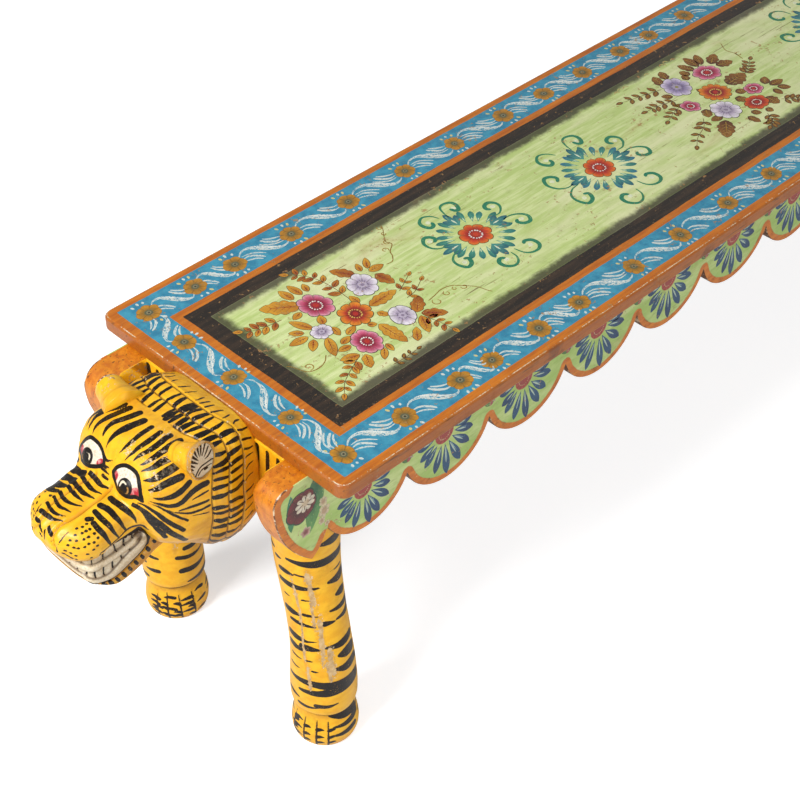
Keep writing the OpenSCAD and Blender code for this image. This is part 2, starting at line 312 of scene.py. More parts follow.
def carve_head(rings, turns, crease):
    """Adds ruff lines, eyeballs, bridge and muzzle pads; crease is the distance to the pads' rim."""
    points = rings.copy()
    for side in (-1, 1):
        points = smooth_push(points, (EYE[0], side * EYE[1], EYE[2]), EYE_R, 3.0)
    normal = grid_normals(points)
    out, y, z = points[..., 0], points[..., 1], points[..., 2]
    depth = np.zeros(out.shape)
    line = ruff_line(rings, turns)
    for groove in GROOVES:
        present = groove_reach(groove, y, z)
        depth -= 1.6 * present * bump(line, groove, 0.9)
        depth += 0.35 * present * bump(line, groove - 2.8, 2.0)
    depth += 0.9 * sum(bump(line, middle, 7) for middle in (34, 53))
    depth -= 2.4 * bump(crease, 0, 1.7)
    depth += 1.2 * bump(crease, 5, 4) * np.clip((out - 138) / 8, 0, 1)
    depth += 2.6 * bump(out, 186, 19) * bump(z, -54, 12) * np.clip(np.abs(y) / 20, 0, 1)
    depth -= 1.3 * bump(out, 150, 7) * bump(z, -52, 13)
    depth += 2.2 * bump(out, 92, 18) * bump(z, -80, 22)
    depth += 0.5 * wobble(points, 38, 3) + 0.18 * wobble(points, 11, 4)
    return points + normal * depth[..., None]


# Legs: profiles by height above the floor, in millimetres, as in the CAD legs
LEG_TOP = UNDER / MM
FOOT_IN = 19
FOOT_OUT = 134
SPLAY_X = 10
SPLAY_Y = 30
LEAN_FROM, LEAN_TO = 115, 275
LEG_RADIUS = [
    (0, 33.5), (3, 36), (9, 37.8), (18, 38.5), (28, 37.4), (38, 35.2), (46, 33.2), (53, 31.6),
    (55.5, 32.6), (58.5, 36.6), (64, 37.7), (76, 38), (88, 37.8), (110, 36.6), (145, 34.3),
    (185, 33.3), (230, 34.6), (265, 36.3), (300, 37.6), (430, 37.6),
]


def leg_lean(height):
    t = np.clip((height - LEAN_FROM) / (LEAN_TO - LEAN_FROM), 0, 1)
    return t * t * (3 - 2 * t)


def leg_point(angle, height, radius):
    """Point of the front left leg; angle 0 looks out along the bench, 90 degrees toward the front."""
    lean = leg_lean(height)
    x = -END / MM + FOOT_IN + SPLAY_X * lean - radius * np.cos(angle)
    y = -FOOT_OUT + SPLAY_Y * lean - radius * np.sin(angle)
    return np.stack([x, y, height + 0 * angle], -1)


def leg_rings(rows=250, cols=144):
    heights = np.concatenate(
        [np.linspace(0, 60, 60, endpoint=False), np.linspace(60, LEG_TOP, rows - 60)]
    )
    angles = np.linspace(0, 2 * math.pi, cols, endpoint=False)
    radius = profile(LEG_RADIUS, heights, 0.9)
    rings = np.stack([leg_point(angles, h, r) for h, r in zip(heights, radius)])
    return heights, rings


# Painting: strokes are distance fields stored on the vertices, in millimetres, negative inside
NO_PAINT = 99.0


def unpainted(points):
    return np.full(len(points), NO_PAINT)


def curve_points(points, count=14):
    """Smooth curve through a few points."""
    p = np.asarray(points, float)
    if len(p) == 1:
        return np.repeat(p, 2, axis=0)
    if len(p) == 2:
        t = np.linspace(0, 1, count)[:, None]
        return p[0] * (1 - t) + p[1] * t
    ends = np.concatenate([[2 * p[0] - p[1]], p, [2 * p[-1] - p[-2]]])
    out = []
    for k in np.linspace(0, len(p) - 1, count):
        i = min(int(k), len(p) - 2)
        t = k - i
        a, b, c, d = ends[i : i + 4]
        out.append(
            0.5
            * (2 * b + (c - a) * t + (2 * a - 5 * b + 4 * c - d) * t**2 + (3 * b - a - 3 * c + d) * t**3)
        )
    return np.array(out)


def stroke_distance(points, path, start, end, belly=1.12):
    """Distance to a brush stroke along a path whose full width goes from start to end."""
    count = len(path)
    t = np.linspace(0, 1, count)
    half = (
        0.5 * (start + (end - start) * t ** 2.4)
        * (1 + (belly - 1) * np.sin(math.pi * np.clip(t * 1.4, 0, 1)))
    )
    lo, hi = path.min(0) - start - end - 6, path.max(0) + start + end + 6
    near = np.all((points > lo) & (points < hi), axis=1)
    found = unpainted(points)
    if not near.any():
        return found
    p = points[near]
    best = unpainted(p)
    for a, b, ra, rb in zip(path[:-1], path[1:], half[:-1], half[1:]):
        d = b - a
        k = np.clip((p - a) @ d / (d @ d + 1e-9), 0, 1)
        gap = np.linalg.norm(p - a - k[:, None] * d, axis=1) - (ra + (rb - ra) * k)
        best = np.minimum(best, gap)
    found[near] = best
    return found


LONG_SPAN = 18


def paint(points, strokes, chart):
    """Field of all strokes; each is (start width, end width, places on the chart or in space)."""
    field = unpainted(points)
    for start, end, places in strokes:
        spots = np.asarray(places, float)
        if spots.shape[1] == 3:
            path = curve_points(spots)
        else:
            spans = np.linalg.norm(np.diff(chart(spots), axis=0), axis=1)
            path = curve_points(chart(spots)) if spans.max() < LONG_SPAN else chart(curve_points(spots))
        field = np.minimum(field, stroke_distance(points, path, start, end))
    return field


def make_chart(stations, rings):
    """Turns (station, share of the way round in degrees) into points on a grid of rings."""
    rows, cols, _ = rings.shape

    def chart(places):
        j = np.interp(places[:, 0], stations, np.arange(rows))
        i = (places[:, 1] % 360) / 360 * cols
        j0 = np.clip(np.floor(j).astype(int), 0, rows - 2)
        i0 = np.floor(i).astype(int)
        fj, fi = (j - j0)[:, None], (i - i0)[:, None]
        i0, i1 = i0 % cols, (i0 + 1) % cols
        low = rings[j0, i0] * (1 - fi) + rings[j0, i1] * fi
        high = rings[j0 + 1, i0] * (1 - fi) + rings[j0 + 1, i1] * fi
        return low * (1 - fj) + high * fj

    return chart


# Strokes of the head: (start width, end width, [(distance out, share of the way round in degrees), ...]);
# places with three numbers are (out, y, z)
FOREHEAD_STRIPES = [
    (5.6, 0.8, [(82, -9, 13), (95, -8.5, 12), (108.5, -9.5, 10), (117.5, -8.5, 6), (127, -4.5, -5.5)]),
    (
        6.2, 0.8,
        [(81, -21, 12.5), (93.5, -21.5, 12), (106.5, -21, 10.5), (115.5, -20, 7), (123.5, -16.5, 0)],
    ),
    (6.6, 0.8, [(76.5, -31, 12.5), (90, -31.5, 11.5), (104, -31, 10), (114.5, -27.5, 7), (121, -26, 3)]),
    (7.0, 0.8, [(73, -42, 11), (88, -41, 10), (103, -40.5, 8.5), (113, -39, 6), (120, -34.5, 3)]),
    (7.4, 1.0, [(92.5, -51, 6.5), (101.5, -49, 6), (113, -47, 4), (122, -39.5, 0)]),
    (8.4, 1.0, [(93.5, -59, 1), (106.5, -57.5, -0.5), (118, -54, -3.5), (124.5, -46.5, -6)]),
    (7.6, 0.8, [(93.5, -66, -8), (108.5, -63.5, -8.5), (121, -59, -12), (126, -52.5, -13)]),
    (6.9, 0.8, [(88, 62), (101, 68), (110, 70.5), (119, 69), (127, 56.5)]),
    (7.3, 0.8, [(70, 69), (79, 70), (90, 73), (101, 79.5), (112, 80.5), (120, 75.5), (128, 64)]),
    (2.5, 1.4, [(70, 76), (80, 78), (88, 79.5)]),
    (3.4, 1.9, [(71, 84), (83, 85.5), (94, 86), (103, 87)]),
    (2.9, 0.8, [(70, 88), (82, 90), (93, 91), (105, 89), (115, 84)]),
    (1.5, 0.9, [(72, 93), (82, 93.5), (90, 94)]),
    (2.9, 0.8, [(96, 98), (107, 91.5), (114, 86.5), (122, 78), (129, 66)]),
    (4.9, 1.6, [(101, 108), (112, 99.5), (122, 89), (129, 77), (135, 55)]),
    (6.2, 2.5, [(98, 123), (113, 111), (123, 99), (130, 88), (135, 68), (138, 50)]),
    (5.3, 3.4, [(118, 119), (126, 108), (131, 94), (135, 72), (139, 52)]),
    (2.0, 0.9, [(118, 112), (124, 108)]),
]
FAR_FOREHEAD_STRIPES = [
    (6.4, 0.8, [(93.5, 50, 9), (101.5, 54.5, 5), (109.5, 56, 1.5), (119, 52.5, -2.5)]),
    (
        7.0, 0.8,
        [(80, 37, 12.5), (92.5, 42.5, 10.5), (104, 48.5, 7.5), (114, 48.5, 3.5), (122, 45.5, -1.5)],
    ),
    (7.2, 0.8, [(80, 29, 13), (92.5, 32.5, 12), (106.5, 36.5, 9.5), (115.5, 38.5, 5.5), (122.5, 36, 0)]),
    (7.4, 0.8, [(77.5, 16, 13), (91.5, 20, 12.5), (104, 25, 11), (114.5, 24.5, 7), (123.5, 19.5, 0)]),
    (8.6, 0.8, [(82, 4, 13), (95, 7.5, 12), (106.5, 10.5, 10.5), (116.5, 12, 6.5), (125.5, 11.5, -2.5)]),
]
FROWN_DASHES = [
    (3.4, 1.2, [(128.5, -9), (130, -4), (128, 1)]),
    (3.4, 1.2, [(132, -9), (133, -4), (132, 1)]),
    (3.2, 1.2, [(135, -8), (135, -2), (135, 3)]),
    (3.4, 2.4, [(138, -4), (138, 1), (138, 4)]),
]
BRIDGE_STRIPES = [
    (5.4, 2.5, [(142, -21), (144, -7), (145, 3), (143, 11)]),
    (4.9, 1.4, [(151, -24), (154, -8), (154, 3.5), (152, 14)]),
    (5.4, 1.4, [(161, -24), (163, -8.5), (162, 3), (161, 14.5)]),
    (4.4, 1.2, [(168, -26), (170, -12), (170, -3), (170, 8)]),
    (4.4, 1.2, [(178, -26.5), (181, -13), (179, 0), (175, 13)]),
    (3.8, 1.4, [(186, -25.5), (190, -10), (188, 2), (187, 11)]),
    (3.9, 1.4, [(195, -25.5), (198, -11.5), (197, 0.5), (194, 12)]),
    (5.1, 1.6, [(204, -29), (204, -14.5), (203, 1), (199, 15)]),
]
FAR_BRIDGE_STRIPES = [
    (6.4, 5.4, [(145, -29), (148, -36), (150, -46), (146, -68)]),
    (6.4, 5.0, [(158, -29), (160, -38), (162, -48), (156, -74)]),
    (6.0, 4.4, [(170, -31), (173, -38), (173, -50), (168, -74)]),
    (5.6, 3.6, [(179, -31), (181, -38), (181, -48), (177, -66)]),
    (3.0, 2.0, [(187, -30), (187, -33)]),
]
MUZZLE_STRIPES = [
    (6.8, 1.2, [(149, 26.5), (148, 37), (145, 56), (142, 81), (140, 101)]),
    (6.4, 1.6, [(162, 27), (159, 37), (158, 54.5), (155, 83.5), (150, 118)]),
    (5.8, 1.6, [(170, 29.5), (170, 43), (168, 60), (166, 82), (160, 117)]),
    (5.8, 2.4, [(179, 41), (179, 52), (177, 68), (175, 87), (171, 114)]),
]
MUZZLE_BLOT = [(5.4, 5.0, [(181, 32), (177, 34.5)])]
WHISKER_DOTS = [
    (195, 35), (190, 37), (185, 36.5), (190, 44.5), (186, 45), (194, 44.5), (185, 54.5), (191, 54.5),
    (184, 65.5), (200, 42.5), (196, 54.5), (189, 68.5), (187, 81.5), (206, 48), (202, 52), (194, 66),
    (209, 57), (206, 65), (203, 69.5), (198, 70), (191, 87.5), (181, 108), (212, 78), (209, 90),
    (206, 97), (197, 92), (185, 112), (194, 106), (213, 100), (211, 107), (209, 112), (206, 113),
]
NOSE_LINES = [
    (1.2, 2.4, [(202, 34.5), (207, 38), (212, 47.5), (215, 66), (215, 100)]),
    (4.6, 1.6, [(211, 17, -42), (213, 9, -43), (216, 2, -47)]),
    (2.4, 2.0, [(214, 0, -44), (216.5, -3, -50), (217.5, -4, -56)]),
    (5.0, 1.6, [(210.5, -3, -41), (213, -9, -43), (214.5, -13, -46)]),
    (2.6, 2.6, [(216, -13, -48)]), (2.2, 1.8, [(216.5, 5, -49), (217.5, 1, -51)]),
]
NOSE_DOTS = [
    (213, 24, -50), (213, 18, -45), (215, 13, -47), (214, 22, -55), (216, 11, -49), (210, 24, -44),
    (206, 22, -39), (207, 26, -42), (216, 16, -58), (200, 24, -36), (194, 24, -35), (212, 28, -58),
]
MOUTH_LINE = [
    (3.2, 2.2, [(131, 126), (135, 117), (140, 112), (150, 110.5), (162, 110), (172, 109), (184, 106)])
]
PAD_CREASE = [
    (140, 13), (147, 16), (157, 19), (169, 19), (181, 20), (193, 20), (200, 18.5), (206, 19.5), (212, 27),
    (215, 40), (216, 70),
]
RUBBED_SPOTS = [
    (107, 4.5), (114, 6.5), (115, 11.5), (108, 19.5), (107, 27.5), (117, 43), (122, 54), (80, 14),
    (201, 12), (98, 33),
]


def ruff_dashes(out_from, out_to, pitch, width, seed, span=150):
    """Brushed bars between two carved lines, as (station in the ruff's measure, share round)."""
    rng = random.Random(seed)
    dashes = []
    turn = -span + pitch / 2
    while turn < span:
        start, end = out_to - rng.uniform(-0.8, 1.2), out_from + rng.uniform(-0.8, 1.6)
        wide = width * rng.uniform(0.8, 1.25)
        crowd = 1 + 1.5 * float(bump(turn, 0, 8))
        slant = rng.uniform(-1.2, 1.2) / crowd ** 1.6
        if rng.random() < 0.3:
            start, end = end, start
        middle = ((start + end) / 2, turn + slant + rng.uniform(-0.8, 0.8) / crowd ** 2)
        dashes.append(
            (wide, wide * rng.uniform(0.6, 0.95), [(start, turn), middle, (end, turn + 2 * slant)])
        )
        turn += pitch * rng.uniform(0.85, 1.18) / crowd
    return dashes


# Mouth, drawn as seen from the side in (out, height) millimetres; past SIDE_END the first number is
# the length along the lips, which run round the front to the middle line
LIP_Y, SIDE_END, LIP_FRONT, MOUTH_TOP = 43.5, 188, 202, -60
MOUTH_FLOOR = [
    # lower edge of the mouth piece along the lips
    (110, -100), (128, -94), (137, -100.5), (150, -105), (161, -108.7), (170, -110.6), (180, -109.6),
    (192, -105), (204, -99.5), (218, -97), (300, -96.5),
]
LIP_OUTER = [
    (300, -66), (150, -66.5), (141.7, -66.7), (135.5, -67.6), (131, -71.6), (127.5, -78.5), (126.9, -87),
    (130, -93.9), (137, -98.9), (150, -103.6), (161, -107.3), (170, -109.3), (180, -108), (192, -103.5),
    (204, -98), (218, -95.5), (300, -95),
]
LIP_INNER = [
    (300, -60), (140, -67.5), (134.6, -71), (133.2, -75.5), (134.4, -81), (139.5, -85.6), (149.5, -88.6),
    (160, -92.8), (168, -97), (177, -100.4), (188, -98.6), (200, -94), (214, -91), (300, -90.5),
]
RIB = [
    (138, -77.5), (146, -80.4), (155, -81.4), (165, -82.6), (175, -83.2), (186, -83), (200, -82),
    (300, -81.5),
]
RIB_R = 4.2
UPPER_GAPS = (143, 153.6, 165, 179.5, 193.5, 207, 219, 231)
LOWER_GAPS = (149, 159.5, 170.5, 181.5, 192, 203, 214.5, 226, 237)
JAW = [
    # distance out, rim height, underside height
    (96, -94, -108), (110, -92, -113), (122, -90, -117), (130, -96.5, -121), (137, -101.4, -123.5),
    (150, -106, -126.5), (161, -109.6, -127.5), (170, -111.2, -126), (180, -109.4, -118),
    (190, -104, -108), (197, -99.5, -101.5), (206, -96, -96.8),
]


def lip_plan():
    """Line of the lips seen from above, from the near corner to the front's middle, and its length."""
    turn = np.linspace(math.pi / 2, 0, 60)
    bow = [
        (SIDE_END + (LIP_FRONT - SIDE_END) * math.cos(t) ** 0.62, -LIP_Y * math.sin(t) ** 0.62)
        for t in turn
    ]
    half = np.array([(out, -LIP_Y) for out in np.linspace(110, SIDE_END, 60)[:-1]] + bow)
    length = 110 + np.concatenate([[0], np.cumsum(np.linalg.norm(np.diff(half, axis=0), axis=1))])
    return half, length


def inside_loop(points, loop):
    """True for 2-D points inside a closed outline."""
    inside = np.zeros(len(points), bool)
    for a, b in zip(loop, np.roll(loop, -1, axis=0)):
        crosses = (a[1] > points[:, 1]) != (b[1] > points[:, 1])
        at = a[0] + (points[:, 1] - a[1]) / (b[1] - a[1] + 1e-12) * (b[0] - a[0])
        inside ^= crosses & (points[:, 0] < at)
    return inside


def outline_gap(points, path):
    """Distance from 2-D points to an open path."""
    best = np.full(len(points), 1e9)
    for a, b in zip(path[:-1], path[1:]):
        d = b - a
        k = np.clip((points - a) @ d / (d @ d), 0, 1)
        best = np.minimum(best, np.linalg.norm(points - a - k[:, None] * d, axis=1))
    return best


def signed_gap(points, corners):
    """Distance to a smooth closed outline, negative inside."""
    loop = curve_points(corners, 12 * len(corners))
    return outline_gap(points, loop) * np.where(inside_loop(points, loop), -1, 1)


def mouth_relief(spots):
    """Carving depth and paint fields of the mouth at (along, height) places."""
    outer, inner = signed_gap(spots, LIP_OUTER), signed_gap(spots, LIP_INNER)
    along, height = spots.T
    from_rib = height - profile(RIB, along, 3)
    lip = np.clip(-outer, 0, 99) * np.clip(inner, 0, 99) * 4 / (np.abs(inner) + np.abs(outer) + 1e-6) ** 2
    depth = np.where((outer < 0) & (inner >= 0), 1.5 * np.sqrt(np.clip(lip, 0, 1)), 0.0)
    rng = random.Random(5)
    notches = []
    for gaps, top, low in ((UPPER_GAPS, 14, 4.6), (LOWER_GAPS, -4.6, -19)):
        for gap in gaps:
            lean = rng.uniform(-1.2, 1.8)
            base = float(np.interp(gap, *zip(*RIB)))
            path = np.array([(gap - lean * 0.5, base + top), (gap + lean * 0.5, base + low)])
            notches.append(
                stroke_distance(
                    spots, curve_points(path, 6), rng.uniform(1.3, 2.6), rng.uniform(0.9, 2.0),
                )
            )
    notch = np.min(notches, axis=0)
    tooth = (
        -0.9 - 1.5 * np.exp(-np.clip(notch, 0, 9) / 1.1) - 1.2 * bump(np.abs(from_rib), RIB_R + 0.6, 0.8)
    )
    rib = -1.4 + np.sqrt(np.clip(RIB_R**2 - from_rib**2, 0, None)) * 0.75
    within = np.where(np.abs(from_rib) < RIB_R, rib, tooth)
    depth = np.where(inner < 0, within * np.clip(-inner / 1.4, 0, 1), depth)
    back = np.clip((143 - along) / 5, 0, 1) * (inner < -1.0) * (from_rib > -4)
    depth -= 2.0 * back
    ink = np.maximum(notch, inner + 0.5)
    ink = np.minimum(ink, np.abs(outer - 0.4) - 1.7 - np.clip((152 - along) / 14, 0, 1) * 0.9)
    off_rib = np.abs(from_rib)
    # Painted shade: dark brown along the inner lip, beside the rib and in the deep back of the mouth
    groove = (
        0.9 * bump(inner, -0.2, 0.8) + 0.7 * bump(off_rib, RIB_R + 0.3, 0.6) * (inner < 0) + 0.8 * back
    )
    # Painted shade: tan on the teeth beside the rib and under the muzzle, and on the lower lip
    shade = 0.9 * bump(from_rib, -2.8, 2.0) + 0.7 * bump(off_rib, 5.5, 1.8) + 0.7 * bump(from_rib, 9, 3.5)
    shade += 0.8 * np.clip((inner - 4) / 4, 0, 1) * (height < -84)
    return depth, {"ink": ink, "cream": outer, "cut": np.clip(groove, 0, 1), "ochre_and_shade": np.clip(shade, 0, 1)}


def mouth_grid(rows=84, cols=190):
    """Outer face of the mouth, carved with teeth, rib and lips, and its paint fields."""
    half, length = lip_plan()
    even = np.linspace(110, length[-1], cols)
    plan = np.stack([np.interp(even, length, half[:, k]) for k in (0, 1)], -1)
    ahead = np.gradient(plan, axis=0)
    ahead /= np.linalg.norm(ahead, axis=1, keepdims=True)
    away = np.stack([ahead[:, 1], -ahead[:, 0]], -1)
    away *= np.where((away * (plan - [150, 0])).sum(1, keepdims=True) < 0, -1, 1)
    away[-1] = (1, 0)
    heights = np.linspace(0, 1, rows)[:, None] * (profile(MOUTH_FLOOR, even, 3) - MOUTH_TOP) + MOUTH_TOP
    spots = np.stack([np.broadcast_to(even, heights.shape), heights], -1).reshape(-1, 2)
    depth, fields = mouth_relief(spots)
    depth = depth.reshape(rows, cols)
    grid = np.empty((rows, cols, 3))
    grid[..., :2] = plan + away * depth[..., None]
    grid[..., 2] = heights
    other = grid[:, -2::-1] * [1, -1, 1]
    grid = np.concatenate([grid, other], axis=1)
    fields = {
        key: np.concatenate([v.reshape(rows, cols), v.reshape(rows, cols)[:, -2::-1]], axis=1)
        for key, v in fields.items()
    }
    return grid, fields


def jaw_rings(cols=150):
    """Lower jaw below the lips: level rim, rounded underside, bowed front."""
    reach = LIP_FRONT + 0.6 - SIDE_END
    stations = np.concatenate(
        [np.linspace(96, SIDE_END, 84), SIDE_END + reach * np.sin(np.linspace(0, math.pi / 2, 26)[1:])]
    )
    angles = ring_angles(cols)
    rim, under = (profile([(row[0], row[k]) for row in JAW], stations, 3) for k in (1, 2))
    closing = np.clip((stations - SIDE_END) / reach, 0, 1)
    half = np.maximum((LIP_Y + 0.8 - 1.6 * closing) * np.clip(1 - closing**3.2, 0, 1) ** (1 / 3.2), 0.8)
    power = np.where(np.cos(angles) > 0, 9.0, 2.8)
    rings = []
    for j, out in enumerate(stations):
        y, z = super_ring(angles, half[j], (rim[j] - under[j]) / 2, power)
        rings.append(np.stack([np.full(cols, out), y, z + (rim[j] + under[j]) / 2], -1))
    return np.array(rings)


def closed_band(grid, inset):
    """Closed shell: the band, its inner copy and the strips that join them."""
    rows, cols, _ = grid.shape
    centre = np.array([150.0, 0.0])
    inner = grid.copy()
    inner[..., :2] = centre + (grid[..., :2] - centre) * inset
    loop = np.concatenate([grid, inner[:, ::-1]], axis=1)
    verts = loop.reshape(-1, 3)
    width = 2 * cols
    faces = ring_faces(rows, width)
    for row in (0, rows - 1):
        base = row * width
        faces += [
            (base + i, base + i + 1, base + width - 2 - i, base + width - 1 - i) for i in range(cols - 1)
        ]
    return verts, faces


# Materials: short helpers, shared node groups, then one function for each finish


class Nodes:
    """Short way to build a node tree: sockets go in, sockets come out."""

    def __init__(self, tree):
        self.tree = tree

    def link(self, value, socket):
        self.tree.links.new(value, socket)

    def feed(self, made, inputs):
        """Links or sets the inputs of a node."""
        for key, value in inputs.items():
            if isinstance(value, bpy.types.NodeSocket):
                self.link(value, made.inputs[key])
            else:
                made.inputs[key].default_value = value

    def new(self, kind, inputs=None, out=0, **settings):
        made = self.tree.nodes.new("ShaderNode" + kind)
        for key, value in settings.items():
            setattr(made, key, value)
        self.feed(made, inputs or {})
        return made.outputs[out]

    def finish(self, kind, shader):
        self.link(shader, self.tree.nodes.new("ShaderNodeOutput" + kind).inputs[0])

    def math(self, kind, a, b=0.0, clamp=False):
        return self.new("Math", {0: a, 1: b}, operation=kind, use_clamp=clamp)

    def add(self, a, b):
        return self.math("ADD", a, b)

    def times(self, a, b):
        return self.math("MULTIPLY", a, b)

    def most(self, a, b):
        return self.math("MAXIMUM", a, b)

    def rise(self, value, low, high, floor=0.0, top=1.0):
        """Goes smoothly from floor to top while value goes from low to high, which may be the smaller."""
        inputs = {"Value": value, "From Min": low, "From Max": high, "To Min": floor, "To Max": top}
        return self.new("MapRange", inputs, interpolation_type="SMOOTHSTEP")

    def blend(self, mask, under, over):
        """Colour under, or over where the mask is 1."""
        made = self.tree.nodes.new("ShaderNodeMix")
        made.data_type = "RGBA"
        colours = {
            key: (*value, 1) if isinstance(value, tuple) else value
            for key, value in ((6, under), (7, over))
        }
        self.feed(made, {0: mask, **colours})
        return made.outputs[2]

    def cover(self, under, mask, share, code):
        """Colour under, with a paint code laid over it where the mask is, at most to the given share."""
        return self.blend(self.times(mask, share), under, srgb(code))

    def tones(self, value, low, high, first, second):
        """Goes from one paint code to another while value goes from low to high."""
        return self.blend(self.rise(value, low, high), srgb(first), srgb(second))

    def place(self):
        return self.new("TexCoord", out=3)

    def stretched(self, place, scale):
        return self.new("Mapping", {"Vector": place, "Scale": scale})

    def noise(self, place, scale, detail=3.0, rough=0.55, distortion=0.0):
        inputs = {
            "Vector": place, "Scale": scale, "Detail": detail, "Roughness": rough,
            "Distortion": distortion,
        }
        return self.new("TexNoise", inputs)

    def field(self, name):
        return self.new("Attribute", attribute_name=name, out=2)

    def colour_field(self, name):
        return self.new("Attribute", attribute_name=name, out=0)

    def group(self, tree, inputs, out=0):
        made = self.tree.nodes.new("ShaderNodeGroup")
        made.node_tree = tree
        self.feed(made, inputs)
        return made.outputs[out]


def start_group(name, inputs, outputs):
    """Empty node group with named sockets: its nodes, its input sockets by name, its output node."""
    tree = bpy.data.node_groups.new(name, "ShaderNodeTree")
    kinds = {"float": "NodeSocketFloat", "vector": "NodeSocketVector", "colour": "NodeSocketColor"}
    for label, (kind, value) in inputs.items():
        socket = tree.interface.new_socket(label, in_out="INPUT", socket_type=kinds[kind])
        if value is not None:
            socket.default_value = value
    for label, kind in outputs.items():
        tree.interface.new_socket(label, in_out="OUTPUT", socket_type=kinds[kind])
    entry = tree.nodes.new("NodeGroupInput")
    leave = tree.nodes.new("NodeGroupOutput")
    return Nodes(tree), {s.name: s for s in entry.outputs if s.name}, leave


def srgb(code):
    """Linear colour from a paint code such as E0A020."""
    parts = [int(code[k : k + 2], 16) / 255 for k in (0, 2, 4)]
    return tuple(c / 12.92 if c <= 0.04045 else ((c + 0.055) / 1.055) ** 2.4 for c in parts)


def paints(codes):
    """List of linear colours from paint codes with spaces between them."""
    return [srgb(code) for code in codes.split()]


def brush_group():
    """Mask of brushed paint from a distance, negative inside: rough edge, dry spots and chips."""
    n, i, leave = start_group(
        "brushed paint",
        {
            "Place": ("vector", None), "Distance": ("float", 0.0), "Rough edge": ("float", 0.45),
            "Dry": ("float", 0.3),
        },
        {"Mask": "float"},
    )
    fine = n.noise(i["Place"], 900.0, 3.0, 0.7)
    broad = n.noise(i["Place"], 160.0, 3.0, 0.6)
    edge = n.times(n.add(n.add(fine, broad), -1.0), n.times(i["Rough edge"], 2.6))
    mask = n.rise(n.add(i["Distance"], edge), 0.22, -0.22)
    specks = n.rise(n.noise(i["Place"], 620.0, 4.0, 0.75), 0.60, 0.68)
    patches = n.rise(n.noise(i["Place"], 60.0, 3.0, 0.6), 0.42, 0.62)
    dry = n.times(n.times(specks, patches), i["Dry"])
    n.link(n.math("MULTIPLY", mask, n.math("SUBTRACT", 1.0, dry), clamp=True), leave.inputs["Mask"])
    return n.tree


def wear_group():
    """Wear masks from plain noise: flakes with crisp edges, soft rubbed patches, dirt and grain."""
    n, i, leave = start_group(
        "age",
        {"Place": ("vector", None), "Flakes": ("float", 0.3), "Size": ("float", 1.0)},
        {"Flakes": "float", "Rubbed": "float", "Dirt": "float", "Grain": "float"},
    )
    size = i["Size"]
    flake = n.noise(i["Place"], n.times(size, 210.0), 5.0, 0.68, 0.4)
    region = n.noise(i["Place"], n.times(size, 26.0), 3.0, 0.6)
    level = n.add(n.times(region, 0.45), flake)
    limit = n.math("SUBTRACT", 1.02, n.times(i["Flakes"], 0.5))
    flakes = n.rise(level, limit, n.add(limit, 0.03))
    rubbed = n.rise(n.noise(i["Place"], n.times(size, 17.0), 4.0, 0.62, 0.8), 0.48, 0.72)
    dirt = n.rise(n.noise(i["Place"], n.times(size, 55.0), 6.0, 0.72), 0.5, 0.74)
    grain = n.noise(i["Place"], n.times(size, 430.0), 4.0, 0.7)
    n.feed(leave, {"Flakes": flakes, "Rubbed": rubbed, "Dirt": dirt, "Grain": grain})
    return n.tree


BRUSH = brush_group()
AGE = wear_group()


def age_masks(n, place, flakes, size, which=range(4)):
    """Flakes, rubbed patches, dirt and grain, or those of them that are named by number."""
    return [n.group(AGE, {"Place": place, "Flakes": flakes, "Size": size}, k) for k in which]


def aged_roughness(n, grain, dirt, low, high, share=0.6):
    """Roughness between low and high from the grain, with the given share, and the dirt."""
    return n.rise(n.add(n.times(grain, share), n.times(dirt, 1 - share)), 0.1, 0.9, low, high)


def begin_material(name):
    material = bpy.data.materials.new(name)
    material.use_nodes = True
    material.node_tree.nodes.clear()
    n = Nodes(material.node_tree)
    return material, n


def end_material(
    n, colour, rough, height, depth, coat=0.0, coat_rough=0.25, specular=0.5, strength=0.6, metal=0.0,
):
    """Principled shader with the colour, roughness and bump that the nodes give."""
    shader = n.new("BsdfPrincipled", {
        "Base Color": colour, "Roughness": rough, "Metallic": metal, "Coat Weight": coat,
        "Coat Roughness": coat_rough, "Specular IOR Level": specular,
        "Normal": n.new("Bump", {"Height": height, "Distance": depth, "Strength": strength}),
    })
    n.finish("Material", shader)


def eye_colours(n, place, colour, grain, red):
    """Painted eyes: cream ball, red corners, black iris with light and amber crescents, outline."""
    eye = n.field("eye")
    scratch = n.rise(n.noise(n.stretched(place, (1, 1, 0.3)), 260.0, 4.0, 0.6), 0.5, 0.66, 0.0, 0.5)
    ball = n.tones(grain, 0.35, 0.7, "DCCDB2", "F3EBDD")
    ball = n.blend(scratch, ball, srgb("B79A78"))
    ball = n.blend(
        red, ball, n.blend(n.rise(n.noise(place, 190.0), 0.45, 0.68), srgb("B42A36"), srgb("DE9C98")),
    )
    iris = n.rise(n.field("iris"), 0.35, -0.25)
    ball = n.blend(iris, ball, srgb("14100E"))
    ball = n.blend(n.rise(n.field("gleam"), 0.35, -0.35), ball, srgb("E9DCC0"))
    ball = n.blend(n.rise(n.field("amber"), 0.35, -0.35), ball, srgb("A8793A"))
    rough_eye = n.add(eye, n.times(n.add(n.noise(place, 500.0, 3.0, 0.6), -0.5), 0.9))
    colour = n.blend(n.rise(rough_eye, -3.3, -3.8), colour, ball)
    line = n.times(n.rise(rough_eye, -3.9, -3.4), n.rise(rough_eye, 0.95, 0.45))
    return n.blend(line, colour, n.tones(grain, 0.5, 0.8, "120E0C", "29221D"))


